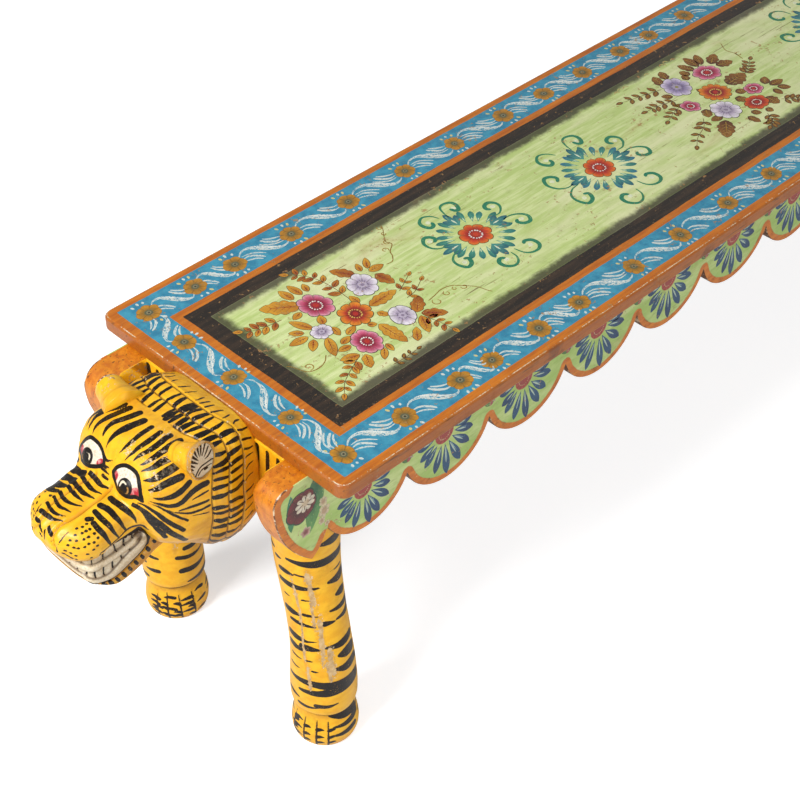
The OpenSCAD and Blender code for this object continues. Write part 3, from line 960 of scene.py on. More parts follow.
def tiger_paint(name, eyes=False):
    """Yellow ground with black brush strokes, cream, red and ochre places, painted shade under the head and
    in grooves, chips and rubbed arrises.
    """
    material, n = begin_material(name)
    place = n.place()
    flakes, rubbed, dirt, grain = age_masks(n, place, 0.42, 1.0)
    streaks = n.noise(n.stretched(place, (0.35, 1, 1)), 120.0, 4.0, 0.6)
    ground = n.tones(streaks, 0.35, 0.7, "F9BE22", "F0AC14")
    ground = n.cover(ground, rubbed, 0.45, "E29A12")
    ground = n.cover(ground, dirt, 0.28, "A4681A")
    # Ochre places and painted shade under the head, on the lower cheeks, under the muzzle and on the teeth,
    # browner with dirt
    ochre_and_shade = n.math("MULTIPLY", n.field("ochre_and_shade"), n.rise(streaks, 0.15, 0.7, 0.35, 1.0), clamp=True)
    ground = n.blend(ochre_and_shade, ground, n.tones(dirt, 0.2, 0.8, "B57C32", "8A5A24"))
    cream = n.group(BRUSH, {"Place": place, "Distance": n.field("cream"), "Rough edge": 0.4, "Dry": 0.25})
    bone = n.tones(grain, 0.35, 0.7, "D9C5A2", "F1E5CC")
    # Painted shade: tan on the cream teeth and lips
    bone = n.cover(bone, ochre_and_shade, 0.8, "A48A62")
    ground = n.blend(cream, ground, n.cover(bone, dirt, 0.5, "A08458"))
    red = n.group(BRUSH, {"Place": place, "Distance": n.field("red"), "Rough edge": 0.5, "Dry": 0.3})
    ink = n.group(BRUSH, {"Place": place, "Distance": n.field("ink"), "Rough edge": 0.36, "Dry": 0.6})
    colour = n.blend(ink, ground, n.tones(grain, 0.35, 0.8, "0F0B09", "241D18"))
    if eyes:
        colour = eye_colours(n, place, colour, grain, red)
    worn = n.field("worn")
    chipped = n.times(flakes, n.rise(worn, 0.15, 0.6))
    chip_line = n.rise(n.add(worn, n.times(n.add(grain, -0.5), 1.7)), 0.88, 1.02)
    bare = n.rise(n.add(worn, n.times(n.add(streaks, -0.5), 0.4)), 1.02, 1.2)
    chips = n.most(n.most(chipped, chip_line), bare)
    chip_colour = n.tones(grain, 0.42, 0.6, "C49A5C", "EADFC6")
    tan = n.rise(worn, 0.45, 0.9, 0.0, 0.85)
    chip_colour = n.blend(tan, chip_colour, n.tones(streaks, 0.3, 0.7, "A97F48", "D6B682"))
    colour = n.blend(chips, colour, chip_colour)
    # Painted shade: dark brown in carved grooves, creases and recesses
    colour = n.blend(n.times(n.field("cut"), 0.88), colour, srgb("4A2608"))
    rough = aged_roughness(n, grain, dirt, 0.30, 0.60, 0.5)
    height = n.add(n.times(grain, 0.35), n.times(chips, -0.7))
    height = n.add(height, n.times(ink, 0.25))
    end_material(n, colour, rough, height, 0.0004, coat=0.1, coat_rough=0.25, specular=0.3)
    return material


# Distances in from the board's edge, in millimetres, over which each painted band gives way to the next
BAND_EDGES = ((11.2, 11.8), (57.2, 57.8), (67.2, 67.8), (87.5, 88.6))


def wood_band_colours(n, place, inset):
    """Painted bands of the seat, by the distance in from its edge in millimetres."""
    sway = n.times(n.add(n.noise(place, 14.0, 2.0), -0.5), 2.4)
    fine = n.times(n.add(n.noise(place, 500.0, 3.0, 0.7), -0.5), 1.6)
    inset = n.add(inset, n.add(sway, fine))
    lengthwise = n.stretched(place, (0.10, 1, 1))
    streaks = n.noise(lengthwise, 190.0, 6.0, 0.65)
    broad = n.noise(n.stretched(place, (0.25, 1, 1)), 18.0, 4.0, 0.6, 0.5)
    green = n.tones(streaks, 0.38, 0.68, "B5C878", "D3DE9E")
    green = n.blend(n.rise(broad, 0.42, 0.66, 0.0, 0.8), green, srgb("DEDFAF"))
    orange = n.tones(streaks, 0.3, 0.7, "AD590C", "CC7614")
    blue = n.blend(n.rise(n.noise(place, 90.0, 5.0, 0.65), 0.3, 0.7), srgb("27799A"), srgb("3F97B2"))
    dark = n.tones(streaks, 0.4, 0.7, "1E1711", "3C2C1E")
    colour = orange
    for edge, band in zip(BAND_EDGES, (blue, orange, dark, green)):
        colour = n.blend(n.rise(inset, *edge), colour, band)
    return colour, streaks, inset


def board_paint():
    """Seat board: painted bands, feathered dark frame, streaked green panel, scratches and wear."""
    material, n = begin_material("board_paint")
    place = n.place()
    inset = n.field("inset")
    flakes, rubbed, dirt, grain = age_masks(n, place, 0.30, 0.8)
    colour, streaks, moved = wood_band_colours(n, place, inset)
    # dark feather that bleeds into the green panel
    feather = n.add(
        n.rise(moved, 88.0, 112.0, 0.85, 0.0), n.times(n.add(n.noise(place, 60.0, 5.0, 0.7), -0.5), 0.8),
    )
    inside = n.rise(moved, *BAND_EDGES[-1])
    colour = n.blend(n.times(n.rise(feather, 0.25, 0.75), n.times(inside, 0.88)), colour, srgb("2A2016"))
    # brown scratches along the board, and reddish stains
    scratch = n.noise(n.stretched(place, (0.035, 1, 1)), 420.0, 3.0, 0.6, 0.25)
    scratches = n.times(n.rise(scratch, 0.645, 0.69), n.rise(n.noise(place, 12.0, 3.0), 0.46, 0.60))
    colour = n.blend(n.times(scratches, n.times(inside, 0.75)), colour, srgb("6B5426"))
    stain = n.rise(n.noise(n.stretched(place, (0.5, 1, 1)), 11.0, 5.0, 0.65, 0.6), 0.56, 0.78)
    colour = n.blend(n.times(stain, n.times(inside, 0.55)), colour, srgb("A98648"))
    # chips and dirt
    colour = n.cover(colour, dirt, 0.16, "4A3520")
    specks = n.rise(n.noise(place, 750.0, 3.0, 0.7), 0.66, 0.70)
    colour = n.cover(colour, specks, 0.55, "B89D6C")
    edge = n.rise(n.math("ABSOLUTE", n.add(inset, -0.6)), 1.1, 0.3)
    low = n.rise(inset, 1.5, -1.5)
    colour = n.blend(n.times(low, n.rise(rubbed, 0.2, 0.9, 0.3, 0.9)), colour, srgb("7E4416"))
    colour = n.blend(n.times(low, n.rise(streaks, 0.52, 0.72, 0.0, 0.85)), colour, srgb("3A2212"))
    nicks = n.add(
        n.times(n.noise(place, 330.0, 4.0, 0.7), 0.5), n.times(n.noise(place, 38.0, 3.0, 0.6), 0.5),
    )
    worn = n.times(edge, n.rise(nicks, 0.46, 0.53))
    colour = n.blend(worn, colour, n.tones(grain, 0.4, 0.6, "B08552", "E3D5B8"))
    colour = n.cover(colour, flakes, 0.75, "A67C49")
    rough = aged_roughness(n, grain, dirt, 0.34, 0.6)
    height = n.add(n.times(streaks, 0.5), n.times(n.most(flakes, worn), -0.8))
    end_material(n, colour, rough, n.add(height, n.times(grain, 0.2)), 0.0004, coat=0.12, coat_rough=0.3)
    return material


def apron_paint():
    """Scalloped aprons and brackets: orange line along the edge, streaked green ground, brown wear."""
    material, n = begin_material("apron_paint")
    place = n.place()
    flakes, rubbed, dirt, grain = age_masks(n, place, 0.30, 0.9)
    broad = n.noise(n.stretched(place, (0.4, 1, 1)), 32.0, 5.0, 0.65, 0.6)
    streaks = n.noise(n.stretched(place, (0.25, 1, 1)), 170.0, 5.0, 0.65)
    green = n.tones(broad, 0.35, 0.7, "A6C566", "CDDC92")
    green = n.blend(n.rise(streaks, 0.52, 0.72, 0.0, 0.4), green, srgb("7C9444"))
    green = n.blend(n.times(n.rise(rubbed, 0.3, 0.9), 0.25), green, srgb("A08848"))
    orange = n.tones(streaks, 0.35, 0.7, "C96A12", "E0861C")
    orange = n.cover(orange, dirt, 0.7, "7C4012")
    edge = n.add(n.field("edge"), n.times(n.add(n.noise(place, 220.0, 4.0, 0.65), -0.5), 2.2))
    colour = n.blend(n.rise(edge, 8.2, 8.8), orange, green)
    line = n.times(n.rise(edge, 7.2, 8.3), n.rise(edge, 9.6, 8.8))
    colour = n.blend(n.times(line, n.rise(dirt, 0.1, 0.8, 0.1, 0.7)), colour, srgb("4B3314"))
    patches = n.rise(n.noise(place, 70.0, 4.0, 0.65), 0.50, 0.60)
    arris = n.rise(n.field("edge"), 0.9, 0.2)
    colour = n.blend(n.times(arris, 0.85), colour, n.blend(patches, srgb("4A2A12"), srgb("DCCBA6")))
    worn = n.times(flakes, 0.8)
    colour = n.blend(worn, colour, n.tones(grain, 0.4, 0.62, "9E7442", "DCCBA6"))
    rough = aged_roughness(n, grain, dirt, 0.38, 0.66)
    end_material(n, colour, rough, n.add(n.times(grain, 0.4), n.times(worn, -0.7)), 0.0004, coat=0.08)
    return material


def orange_wood():
    """Rubbed orange paint on end faces and edges."""
    material, n = begin_material("orange_wood")
    place = n.place()
    flakes, rubbed, dirt, grain = age_masks(n, place, 0.24, 1.1)
    streaks = n.noise(n.stretched(place, (1, 1, 0.3)), 130.0, 6.0, 0.68, 0.3)
    colour = n.tones(streaks, 0.3, 0.72, "C2660C", "E28E1A")
    colour = n.cover(colour, dirt, 0.6, "6E3A0E")
    colour = n.cover(colour, rubbed, 0.4, "A65A10")
    nicks = n.rise(n.noise(n.stretched(place, (1, 1, 0.5)), 240.0, 3.0, 0.6, 0.6), 0.63, 0.67)
    colour = n.cover(colour, nicks, 0.7, "3A200E")
    patches = n.rise(n.noise(place, 70.0, 4.0, 0.65), 0.50, 0.60)
    colour = n.blend(
        n.rise(n.field("edge"), 0.9, 0.2), colour, n.blend(patches, srgb("4A2A12"), srgb("E0D2B4")),
    )
    worn = n.times(flakes, 0.6)
    colour = n.blend(worn, colour, n.tones(grain, 0.4, 0.62, "B08A58", "E6DAC0"))
    rough = aged_roughness(n, grain, dirt, 0.36, 0.64)
    end_material(n, colour, rough, n.add(n.times(grain, 0.4), n.times(worn, -0.7)), 0.0005, coat=0.1)
    return material


def raw_wood():
    """Unpainted underside wood: growth lines along the piece, pores and dust."""
    material, n = begin_material("raw_wood")
    place = n.place()
    grain = n.noise(n.stretched(place, (1.0, 0.06, 1)), 160.0, 6.0, 0.7, 0.4)
    pores = n.rise(n.noise(n.stretched(place, (1, 0.05, 1)), 700.0, 3.0, 0.7), 0.62, 0.70)
    colour = n.tones(grain, 0.3, 0.7, "8A6238", "B98E5A")
    colour = n.cover(colour, pores, 0.7, "4E341C")
    dust = n.rise(n.noise(place, 24.0, 5.0, 0.7), 0.45, 0.75, 0.0, 0.35)
    colour = n.blend(dust, colour, srgb("C9B391"))
    rough = n.rise(grain, 0.2, 0.8, 0.62, 0.85)
    end_material(n, colour, rough, n.add(grain, n.times(pores, -0.6)), 0.0005, specular=0.35)
    return material


def screw_steel():
    """Dull screws with a little rust."""
    material, n = begin_material("screw_steel")
    place = n.place()
    rust = n.rise(n.noise(place, 420.0, 5.0, 0.7), 0.5, 0.66)
    colour = n.blend(rust, srgb("9C9A96"), srgb("7A4826"))
    rough = n.rise(rust, 0.0, 1.0, 0.38, 0.8)
    end_material(n, colour, rough, rust, 0.0002, strength=1.0, metal=n.math("SUBTRACT", 1.0, rust))
    return material


TIGER = tiger_paint("tiger_paint")
TIGER_FACE = tiger_paint("tiger_face_paint", eyes=True)
BOARD = board_paint()
APRON = apron_paint()
WORN_ORANGE = orange_wood()
RAW = raw_wood()
STEEL = screw_steel()


# Pieces


def to_bench(points, end):
    """Head chart (out, y, z from the seat top, mm) to the frame; end -1 is the photographed one."""
    p = np.asarray(points, float)
    return np.stack([end * (END + p[..., 0] * MM), SHIFT + p[..., 1] * MM, TOP + p[..., 2] * MM], -1)


def loop_distance(points, loop, reach=26.0):
    """Signed distance to a closed outline, measured in the outline's own plane; negative inside."""
    loop = np.asarray(loop, float)
    middle = loop.mean(0)
    axes = np.linalg.svd(loop - middle)[2]
    near = np.linalg.norm(points - middle, axis=1) < reach
    found = unpainted(points)
    p = (points[near] - middle) @ axes[:2].T
    q = (loop - middle) @ axes[:2].T
    best = outline_gap(p, np.concatenate([q, q[:1]]))
    found[near] = np.where(inside_loop(p, q), -best, best)
    return found


def dot_distance(points, centre, radius):
    return np.linalg.norm(points - np.asarray(centre, float), axis=1) - radius


EYE_OUTLINE = [
    (132.7, -5.8, -15.4), (128.8, -9.5, -8.2), (124.8, -18.3, -2.2), (123.3, -27.9, -1.0),
    (123.7, -37.5, -2.1), (126.6, -44.1, -7.6), (129.5, -49.0, -16.0), (131.7, -52.8, -25.9),
    (134.8, -45.7, -23.8), (138.5, -39.5, -25.4), (141.1, -32.2, -25.3), (140.2, -21.9, -24.1),
    (136.1, -11.1, -19.8),
]
IRIS = (137.4, -31.0, -17.0)
IRIS_R = 9.4
EYE_REDS = [(133.6, -10.6, -17.4), (133.8, -44.0, -19.6)]
EYE_GLEAM = [(138.6, -25.4, -17.4), (136.4, -26.2, -13.4), (135.4, -30.2, -12.2), (136.0, -32.6, -13.8)]
EYE_AMBER = [(136.4, -34.6, -14.4), (137.4, -36.6, -17.6), (138.6, -36.4, -20.4), (139.2, -34.2, -22.0)]


def paint_eyes(points, fields):
    """Distances for the eyes: almond, iris, both crescents and red corners, alike on both sides."""
    for key in ("eye", "iris", "gleam", "amber"):
        fields[key] = unpainted(points)
    for side in (-1, 1):
        folded = points * [1, -side, 1]
        almond = loop_distance(folded, curve_points(EYE_OUTLINE + EYE_OUTLINE[:1], 60)[:-1])
        fields["eye"] = np.minimum(fields["eye"], almond)
        fields["iris"] = np.minimum(fields["iris"], dot_distance(folded, IRIS, IRIS_R))
        for centre, radius in zip(EYE_REDS, (6.4, 6.6)):
            fields["red"] = np.minimum(fields["red"], dot_distance(folded, centre, radius))
        for key, path, width in (("gleam", EYE_GLEAM, 2.4), ("amber", EYE_AMBER, 1.8)):
            crescent = stroke_distance(folded, curve_points(path, 12), width, width * 0.6)
            fields[key] = np.minimum(fields[key], crescent)


def mirrored(strokes):
    return [(a, b, [(p[0], -p[1], *p[2:]) for p in places]) for a, b, places in strokes]


def ruff_place(line, share):
    """Chart place (out, share) of a place measured along the ruff's own lines."""
    turn = np.degrees(ring_angles(360))[int(share) % 360]
    return line + float(profile(RUFF_LEAN, min(turn, 360 - turn))), share


def head_ink():
    """Every black stroke of the head."""
    across = [(a, b, curve_points(places, 12)) for a, b, places in BRIDGE_STRIPES + FAR_BRIDGE_STRIPES]
    strokes = FOREHEAD_STRIPES + FAR_FOREHEAD_STRIPES + FROWN_DASHES + across
    strokes = (
        strokes + MUZZLE_STRIPES + mirrored(MUZZLE_STRIPES) + MUZZLE_BLOT + MOUTH_LINE
        + mirrored(MOUTH_LINE)
    )
    strokes += (
        mirrored([s for s in FOREHEAD_STRIPES if s[2][0][1] > 50]) + NOSE_LINES + mirrored(NOSE_LINES[:1])
    )
    ruff = ruff_dashes(45.5, 61.5, 6.8, 5.0, 12) + ruff_dashes(25.5, 42.5, 7.0, 4.8, 13)
    ruff += ruff_dashes(8, 21, 8.0, 2.2, 11)
    strokes += [(a, b, [ruff_place(*p) for p in places]) for a, b, places in ruff]
    strokes += [(2.7, 2.4, [(out, turn), (out - 0.8, turn + 0.8)]) for out, turn in WHISKER_DOTS]
    strokes += [(2.7, 2.4, [(out, -turn), (out - 0.8, -turn - 0.8)]) for out, turn in WHISKER_DOTS[4:]]
    return strokes + [(2.0, 1.8, [spot, spot]) for spot in NOSE_DOTS]


def head_fields(rings, turns, crease, chart):
    """Paint fields of the head's skin."""
    flat = rings.reshape(-1, 3)
    out, y, z = flat.T
    fields = {"ink": paint(flat, head_ink(), chart), "cream": unpainted(flat), "red": unpainted(flat)}
    paint_eyes(flat, fields)
    line = ruff_line(rings, turns).reshape(-1)
    cuts = [groove_reach(g, y, z) * bump(line, g, 0.85) for g in GROOVES]
    lips = np.max([groove_reach(g, y, z) * bump(line, g - 1.9, 0.6) for g in GROOVES], axis=0)
    rubbed = [
        bump(np.linalg.norm(flat - chart(np.array([spot], float)), axis=1), 0, 5.5)
        for spot in RUBBED_SPOTS
    ]
    # Painted shade: dark brown in the ruff grooves and along the muzzle pads' crease
    fields["cut"] = np.clip(np.max(cuts, axis=0) + 0.6 * bump(crease.reshape(-1), 0, 0.9), 0, 1)
    nose = bump(out, 209, 5) * bump(y, -5, 8) * bump(z, -40, 5)
    muzzle_rim = np.clip(4 - (z + 75), 0, 5) / 5 * np.clip((out - 168) / 10, 0, 1)
    muzzle_rim *= np.clip((-z - 62) / 6, 0, 1)
    brow = bump(out, 98, 20) * np.clip((z + 12) / 12, 0, 1)
    fields["worn"] = 0.2 + 0.06 * brow + 0.66 * lips + 0.5 * np.max(rubbed, axis=0) + 0.6 * nose
    fields["worn"] += 0.55 * np.clip(muzzle_rim, 0, 1)
    # Painted shade: darker under the head, on the lower cheek and under the muzzle; ochre on the top behind
    # the brow
    low = np.clip((-z - 92) / 30, 0, 1) * 0.8
    cheek = 0.6 * bump(out, 78, 17) * np.clip((-z - 45) / 35, 0, 1)
    ridge = 0.45 * bump(out, 72, 11) * np.clip((z + 8) / 10, 0, 1)
    chin = 0.9 * bump(out, 196, 16) * np.clip((-z - 64) / 7, 0, 1)
    fields["ochre_and_shade"] = np.clip(low + ridge + cheek + chin, 0, 1)
    return fields


def pad_crease(rings, chart):
    """Distance of every point from the rim of the muzzle pads."""
    folded = rings.reshape(-1, 3) * [1, 0, 1] - np.abs(rings.reshape(-1, 3)) * [0, 1, 0]
    return (
        stroke_distance(folded, chart(curve_points(PAD_CREASE, 40)), 8, 8, 1.0).reshape(rings.shape[:2])
        + 4
    )


def tiger_head(end, side_name):
    """Carved and painted head with its jaw, mouth and ears."""
    stations = head_stations()
    drawn, turns = head_rings(stations, HEAD_COLS)
    rough_chart = make_chart(stations, drawn)
    chart = make_chart(stations, carve_head(drawn, turns, pad_crease(drawn, rough_chart)))
    plain, turns = head_rings(stations, HEAD_COLS, even=True)
    crease = pad_crease(plain, rough_chart)
    rings = carve_head(plain, turns, crease)
    fields = head_fields(rings, turns, crease, chart)
    rings[..., 0] = np.minimum(rings[..., 0], HEAD_L)
    verts, faces = tube_mesh(rings)
    fields = {
        key: np.concatenate([v, [v[:HEAD_COLS].mean(), v[-HEAD_COLS:].mean()]])
        for key, v in fields.items()
    }
    add_piece(
        f"head_{side_name}_carving", to_bench(verts, end), faces, [TIGER_FACE],
        [f"tiger_head_{side_name}"], fields=fields,
    )
    jaw_piece(end, side_name)
    mouth_piece(end, side_name)
    for side, label in SIDES:
        ear_piece(end, side_name, side, label)


def jaw_piece(end, side_name):
    """Ochre lower jaw with short slanting stripes."""
    verts, faces = tube_mesh(jaw_rings())
    out, _, z = verts.T
    blank = unpainted(verts)
    below = np.interp(out, [row[0] for row in JAW], [row[1] for row in JAW]) - z
    rng = random.Random(31)
    stripes = []
    for side in (1, -1):
        for k in range(12):
            place = 106 + k * 8.0
            rim = float(np.interp(place, [row[0] for row in JAW], [row[1] for row in JAW]))
            wide = rng.uniform(3.4, 4.6)
            path = [
                (place, -44.6 * side, rim - 1), (place - 3, -43.4 * side, rim - 7),
                (place - 7, -38 * side, rim - 12),
            ]
            stripes.append((wide, wide * 0.5, path))
    fields = {"ink": paint(verts, stripes, None), "cream": blank, "red": blank}
    fields["worn"] = 0.3 + 0.4 * bump(below, 0, 2)
    fields["cut"] = np.zeros(len(verts))
    # Ochre paint, darker toward the jaw's underside
    fields["ochre_and_shade"] = np.clip(0.55 + below / 20, 0, 1)
    add_piece(f"head_{side_name}_jaw", to_bench(verts, end), faces, [TIGER], fields=fields)


def mouth_piece(end, side_name):
    """Carved mouth: lips, two rows of teeth and the rib between them."""
    grid, fields = mouth_grid()
    verts, faces = closed_band(grid, 0.8)
    blank = {"ink": NO_PAINT, "cream": NO_PAINT, "cut": 0.0, "ochre_and_shade": 0.0}
    fields = {
        key: np.concatenate([v, np.full_like(v, blank[key])], axis=1).reshape(-1)
        for key, v in fields.items()
    }
    fields["red"] = unpainted(verts)
    fields["worn"] = np.full(len(verts), 0.2)
    add_piece(
        f"head_{side_name}_teeth", to_bench(verts, end), faces, [TIGER], fields=fields,
    )


EAR_AT = {-1: (82, -52, 5), 1: (76, 52, 5)}
EAR_LIFT, EAR_SWEEP = math.radians(10), {-1: math.radians(14), 1: math.radians(10)}
EAR_DISC = 17.4
EAR_PROFILE = [
    (-6, 12.2), (0, 12.6), (6, 13.6), (12, 15.0), (17, 16.6), (21, 18.0), (24, 19.1), (26, 19.7),
    (27.4, 19.8), (28.4, 19.2), (28.7, 18.5), (28.2, 17.8), (27.2, 17.3), (26.5, 16.9),
]
FAR_EAR_PROFILE = [
    (-12, 25), (-4, 22.5), (3, 19.8), (9, 17.6), (14, 16.4), (18, 16.0), (21, 15.8), (24, 15), (26, 13.8),
    (27.4, 12.4), (28.2, 11), (28.7, 9), (28.9, 7), (29, 5),
]
# Bare patches of the far ear, (out, y, z, radius), and its brown scar
EAR_PATCHES = [(79, 61, 19, 6.5), (72, 73, 25, 4), (70, 66, 24, 3), (84, 60, 12, 3)]
EAR_SCAR = (69, 57, 17)
# Strokes of the ear disc: (start width, end width, places right and up from its middle)
EAR_RAYS = [
    (2.6, 0.8, [(-12, 14), (-4, 2.5)]), (2.6, 0.8, [(-14.5, 9), (-6, 0)]),
    (2.2, 0.8, [(-16, 5), (-10.5, -1)]), (2.0, 0.8, [(-17, 1), (-13, -3)]),
    (2.0, 0.9, [(-17, -3.5), (-14, -8)]), (2.6, 0.8, [(-6.5, 16.5), (-4, 6)]),
    (2.6, 0.8, [(-1, 17.5), (-1, 5)]), (2.6, 0.8, [(5, 17), (2.5, 9.5), (1, 4.5)]),
    (2.4, 0.8, [(10.5, 13), (6.5, 8), (2.5, 3.5)]), (2.2, 0.8, [(13.5, 7), (9, 3.5), (4.5, 0.5)]),
    (2.2, 0.8, [(16, 0.5), (10, -2), (5, -2)]),
    (1.4, 2.6, [(15, -9), (6.5, -7.5), (-3, -6), (-10, -8.5), (-13.5, -11)]),
    (1.2, 2.0, [(11, -12.5), (3.5, -11), (-3, -10), (-9, -12)]), (2.0, 1.6, [(1, -12), (6, -13.5)]),
]


def ear_piece(end, side_name, side, label):
    """Plug ear that flares to a worn rim round a painted disc."""
    cols = 112
    heights, radii = zip(*(EAR_PROFILE if side < 0 else FAR_EAR_PROFILE))
    fine = np.linspace(0, len(heights) - 1, 60)
    h = np.concatenate([np.interp(fine, range(len(heights)), heights), np.full(28, heights[-1])])
    r = np.concatenate([np.interp(fine, range(len(radii)), radii), np.linspace(radii[-1], 0.5, 29)[1:]])
    angles = np.linspace(0, 2 * math.pi, cols, endpoint=False)
    uneven = 1 + 0.02 * np.sin(3 * angles + 1) + 0.012 * np.sin(7 * angles)
    right, up = r[:, None] * np.cos(angles) * uneven, r[:, None] * np.sin(angles) * uneven
    local = np.stack([right, up, np.repeat(h[:, None], cols, 1)], -1)
    sweep = Matrix.Rotation(-side * EAR_SWEEP[side], 3, "Z")
    tip_over = Matrix.Rotation(-side * (math.pi / 2 - EAR_LIFT), 3, "X")
    spun = local @ np.array(sweep @ tip_over).T
    chart_rings = np.array(EAR_AT[side]) + spun * [-1, 1, 1]
    chart_rings[..., 2] = np.minimum(chart_rings[..., 2], (CAD_BOX[1][2] - TOP) / MM)
    verts, faces = tube_mesh(chart_rings)
    flat = np.concatenate([local.reshape(-1, 3), local[0].mean(0)[None], local[-1].mean(0)[None]])
    radius = np.hypot(flat[:, 0], flat[:, 1])
    depth = flat[:, 2]
    on_disc = (depth > 24.5) & (radius < EAR_DISC + 0.3)
    plane = flat * [1, -side, 0]
    rays = [
        stroke_distance(plane, curve_points([(*spot, 0) for spot in path]), a, b)
        for a, b, path in EAR_RAYS
    ]
    fields = {"ink": np.where(on_disc, np.maximum(np.min(rays, axis=0), radius - EAR_DISC), NO_PAINT)}
    fields["cream"] = np.where(on_disc, radius - EAR_DISC, NO_PAINT)
    fields["red"] = unpainted(verts)
    # Painted highlight: the plug's lit side gets more pale chips through the wear field
    lit = np.clip(-side * flat[:, 1] / 14 + 0.3, 0, 1) * bump(depth, 15, 9) * (~on_disc)
    fields["worn"] = 0.16 + 0.8 * bump(radius, 19.4, 1.4) * (depth > 23) + 0.22 * lit
    if side > 0:
        patches = [bump(dot_distance(verts, spot, 0), 0, reach) for *spot, reach in EAR_PATCHES]
        fields["worn"] = 0.16 + 1.15 * np.max(patches, axis=0)
    # Painted shade: dark ring at the disc's edge and where the plug meets the head
    fields["cut"] = (
        0.5 * bump(radius, EAR_DISC + 0.2, 0.6) * on_disc + 0.35 * bump(depth, 0.5, 1.2) * (~on_disc)
    )
    rim = np.clip((depth - 19) / 5, 0, 1) * (radius > EAR_DISC)
    fields["ochre_and_shade"] = np.clip(rim + 0.25 * bump(radius, 0, 9) * on_disc, 0, 1)
    if side > 0:
        fields["ochre_and_shade"] = np.clip(
            fields["ochre_and_shade"] + 0.8 * bump(dot_distance(verts, EAR_SCAR, 0), 0, 4), 0, 1,
        )
    add_piece(
        f"ear_{label}_{side_name}_turned", to_bench(verts, end), faces, [TIGER],
        [f"ear_{label}_{side_name}"], fields=fields,
    )


# Leg stripes of the near leg: (thickness, [(degrees, height), ...]); 0 faces outward, 90 the bench's side
LEG_STRIPES = [
    (8, [(58, 21), (84, 20), (108, 22)]), (8, [(64, 34), (92, 33), (122, 35)]),
    (11, [(58, 51), (85, 47), (122, 43)]), (5, [(0, 71), (18, 70), (37, 72)]),
    (6, [(34, 76), (52, 75), (72, 77)]), (6, [(-26, 83), (-12, 82), (2, 81)]),
    (12, [(3, 95), (40, 96), (80, 98), (122, 99)]), (11, [(-26, 109), (20, 110), (70, 107), (122, 105)]),
    (2.6, [(-22, 128), (-5, 127), (10, 128)]), (2.6, [(29, 129), (42, 128)]),
    (12, [(73, 130), (95, 127), (122, 128)]), (2.6, [(-17, 143), (0, 142), (11, 142)]),
    (2.6, [(19, 142), (44, 143)]), (13, [(83, 146), (100, 145), (122, 144)]),
    (7.5, [(-17, 157), (0, 156), (16, 155)]), (8, [(14, 161), (30, 160), (48, 159)]),
    (9, [(59, 161), (90, 159), (122, 160)]), (7.5, [(-14, 171), (8, 170), (28, 169)]),
    (2.4, [(28, 169), (46, 170)]), (5, [(-2, 191), (24, 190), (48, 188)]), (6.5, [(59, 191), (86, 189)]),
    (8, [(91, 190), (118, 189), (142, 191)]), (8, [(-10, 203), (6, 202), (22, 201)]),
    (4, [(29, 203), (56, 201)]), (7.5, [(79, 204), (110, 202), (142, 201)]), (2.4, [(-6, 222), (9, 221)]),
    (2.6, [(31, 222), (56, 221)]), (9.5, [(98, 219), (122, 217)]),
    (7, [(-10, 239), (28, 238), (66, 237)]), (11.5, [(84, 239), (108, 237), (132, 238)]),
    (7, [(-4, 256), (10, 255), (22, 254)]), (2.4, [(26, 256), (56, 254)]), (2.6, [(89, 251), (122, 249)]),
    (5, [(-12, 272), (2, 271)]), (11, [(14, 276), (44, 273), (80, 270), (122, 269)]),
    (7, [(-32, 284), (-14, 282)]), (12.5, [(72, 298), (94, 297), (118, 296)]),
]
TOE_LINES = (-20, 7, 31, 52)
# Long bare patches of a leg: degrees, middle height, width in degrees, half length
LEG_PATCHES = [
    (20, 190, 3.6, 70), (23, 118, 4.4, 26), (50, 236, 6.6, 34), (55, 168, 6.0, 40), (44, 204, 3.6, 24),
    (69, 142, 6.4, 26), (62, 126, 4.0, 18), (300, 175, 5.0, 70), (190, 195, 5.0, 75),
]


def leg_strokes(front, rng):
    """Stripes all round the leg: the seen ones, and more of the same kind on the hidden side."""
    strokes = []
    for thick, places in LEG_STRIPES:
        spread = [(height, angle) for angle, height in (places[::-1] if places[-1][0] > 100 else places)]
        strokes.append((thick, thick * 0.35, spread))
    height = 66.0
    while height < LEG_TOP - 8:
        start = 150 + rng.uniform(-16, 10)
        for middle, reach in ((start + 30, 34), (start + 112, 34)):
            thick = rng.uniform(4, 11)
            tilt = rng.uniform(-5, 5)
            run = [(height + tilt, middle - reach), (height - 2, middle), (height - tilt, middle + reach)]
            strokes.append((thick, thick * 0.3, run if rng.random() < 0.5 else run[::-1]))
        height += rng.uniform(15, 22)
    for angle in TOE_LINES:
        placed = angle if front else angle - 67
        strokes.append((2.2, 1.4, [(1, placed), (24, placed + 1), (43, placed + 2)]))
        for lift in (9, 19, 30):
            strokes.append(
                (4.6, 1.4, [(lift, placed + 2), (lift + 1.5, placed + 8), (lift + 1, placed + 14)])
            )
    for k in range(7):
        turn = 150 + k * 32
        for lift in (12, 24, 36):
            strokes.append(
                (4.5, 1.6, [(lift + rng.uniform(-2, 2), turn), (lift + 1, turn + 11), (lift, turn + 21)])
            )
    for lift, turn in ((14, -22), (24, -24), (33, -20), (15, 128), (28, 130), (38, 128)):
        strokes.append((3.2, 1.2, [(lift, turn), (lift + 1, turn + 8), (lift, turn + 15)]))
    return strokes


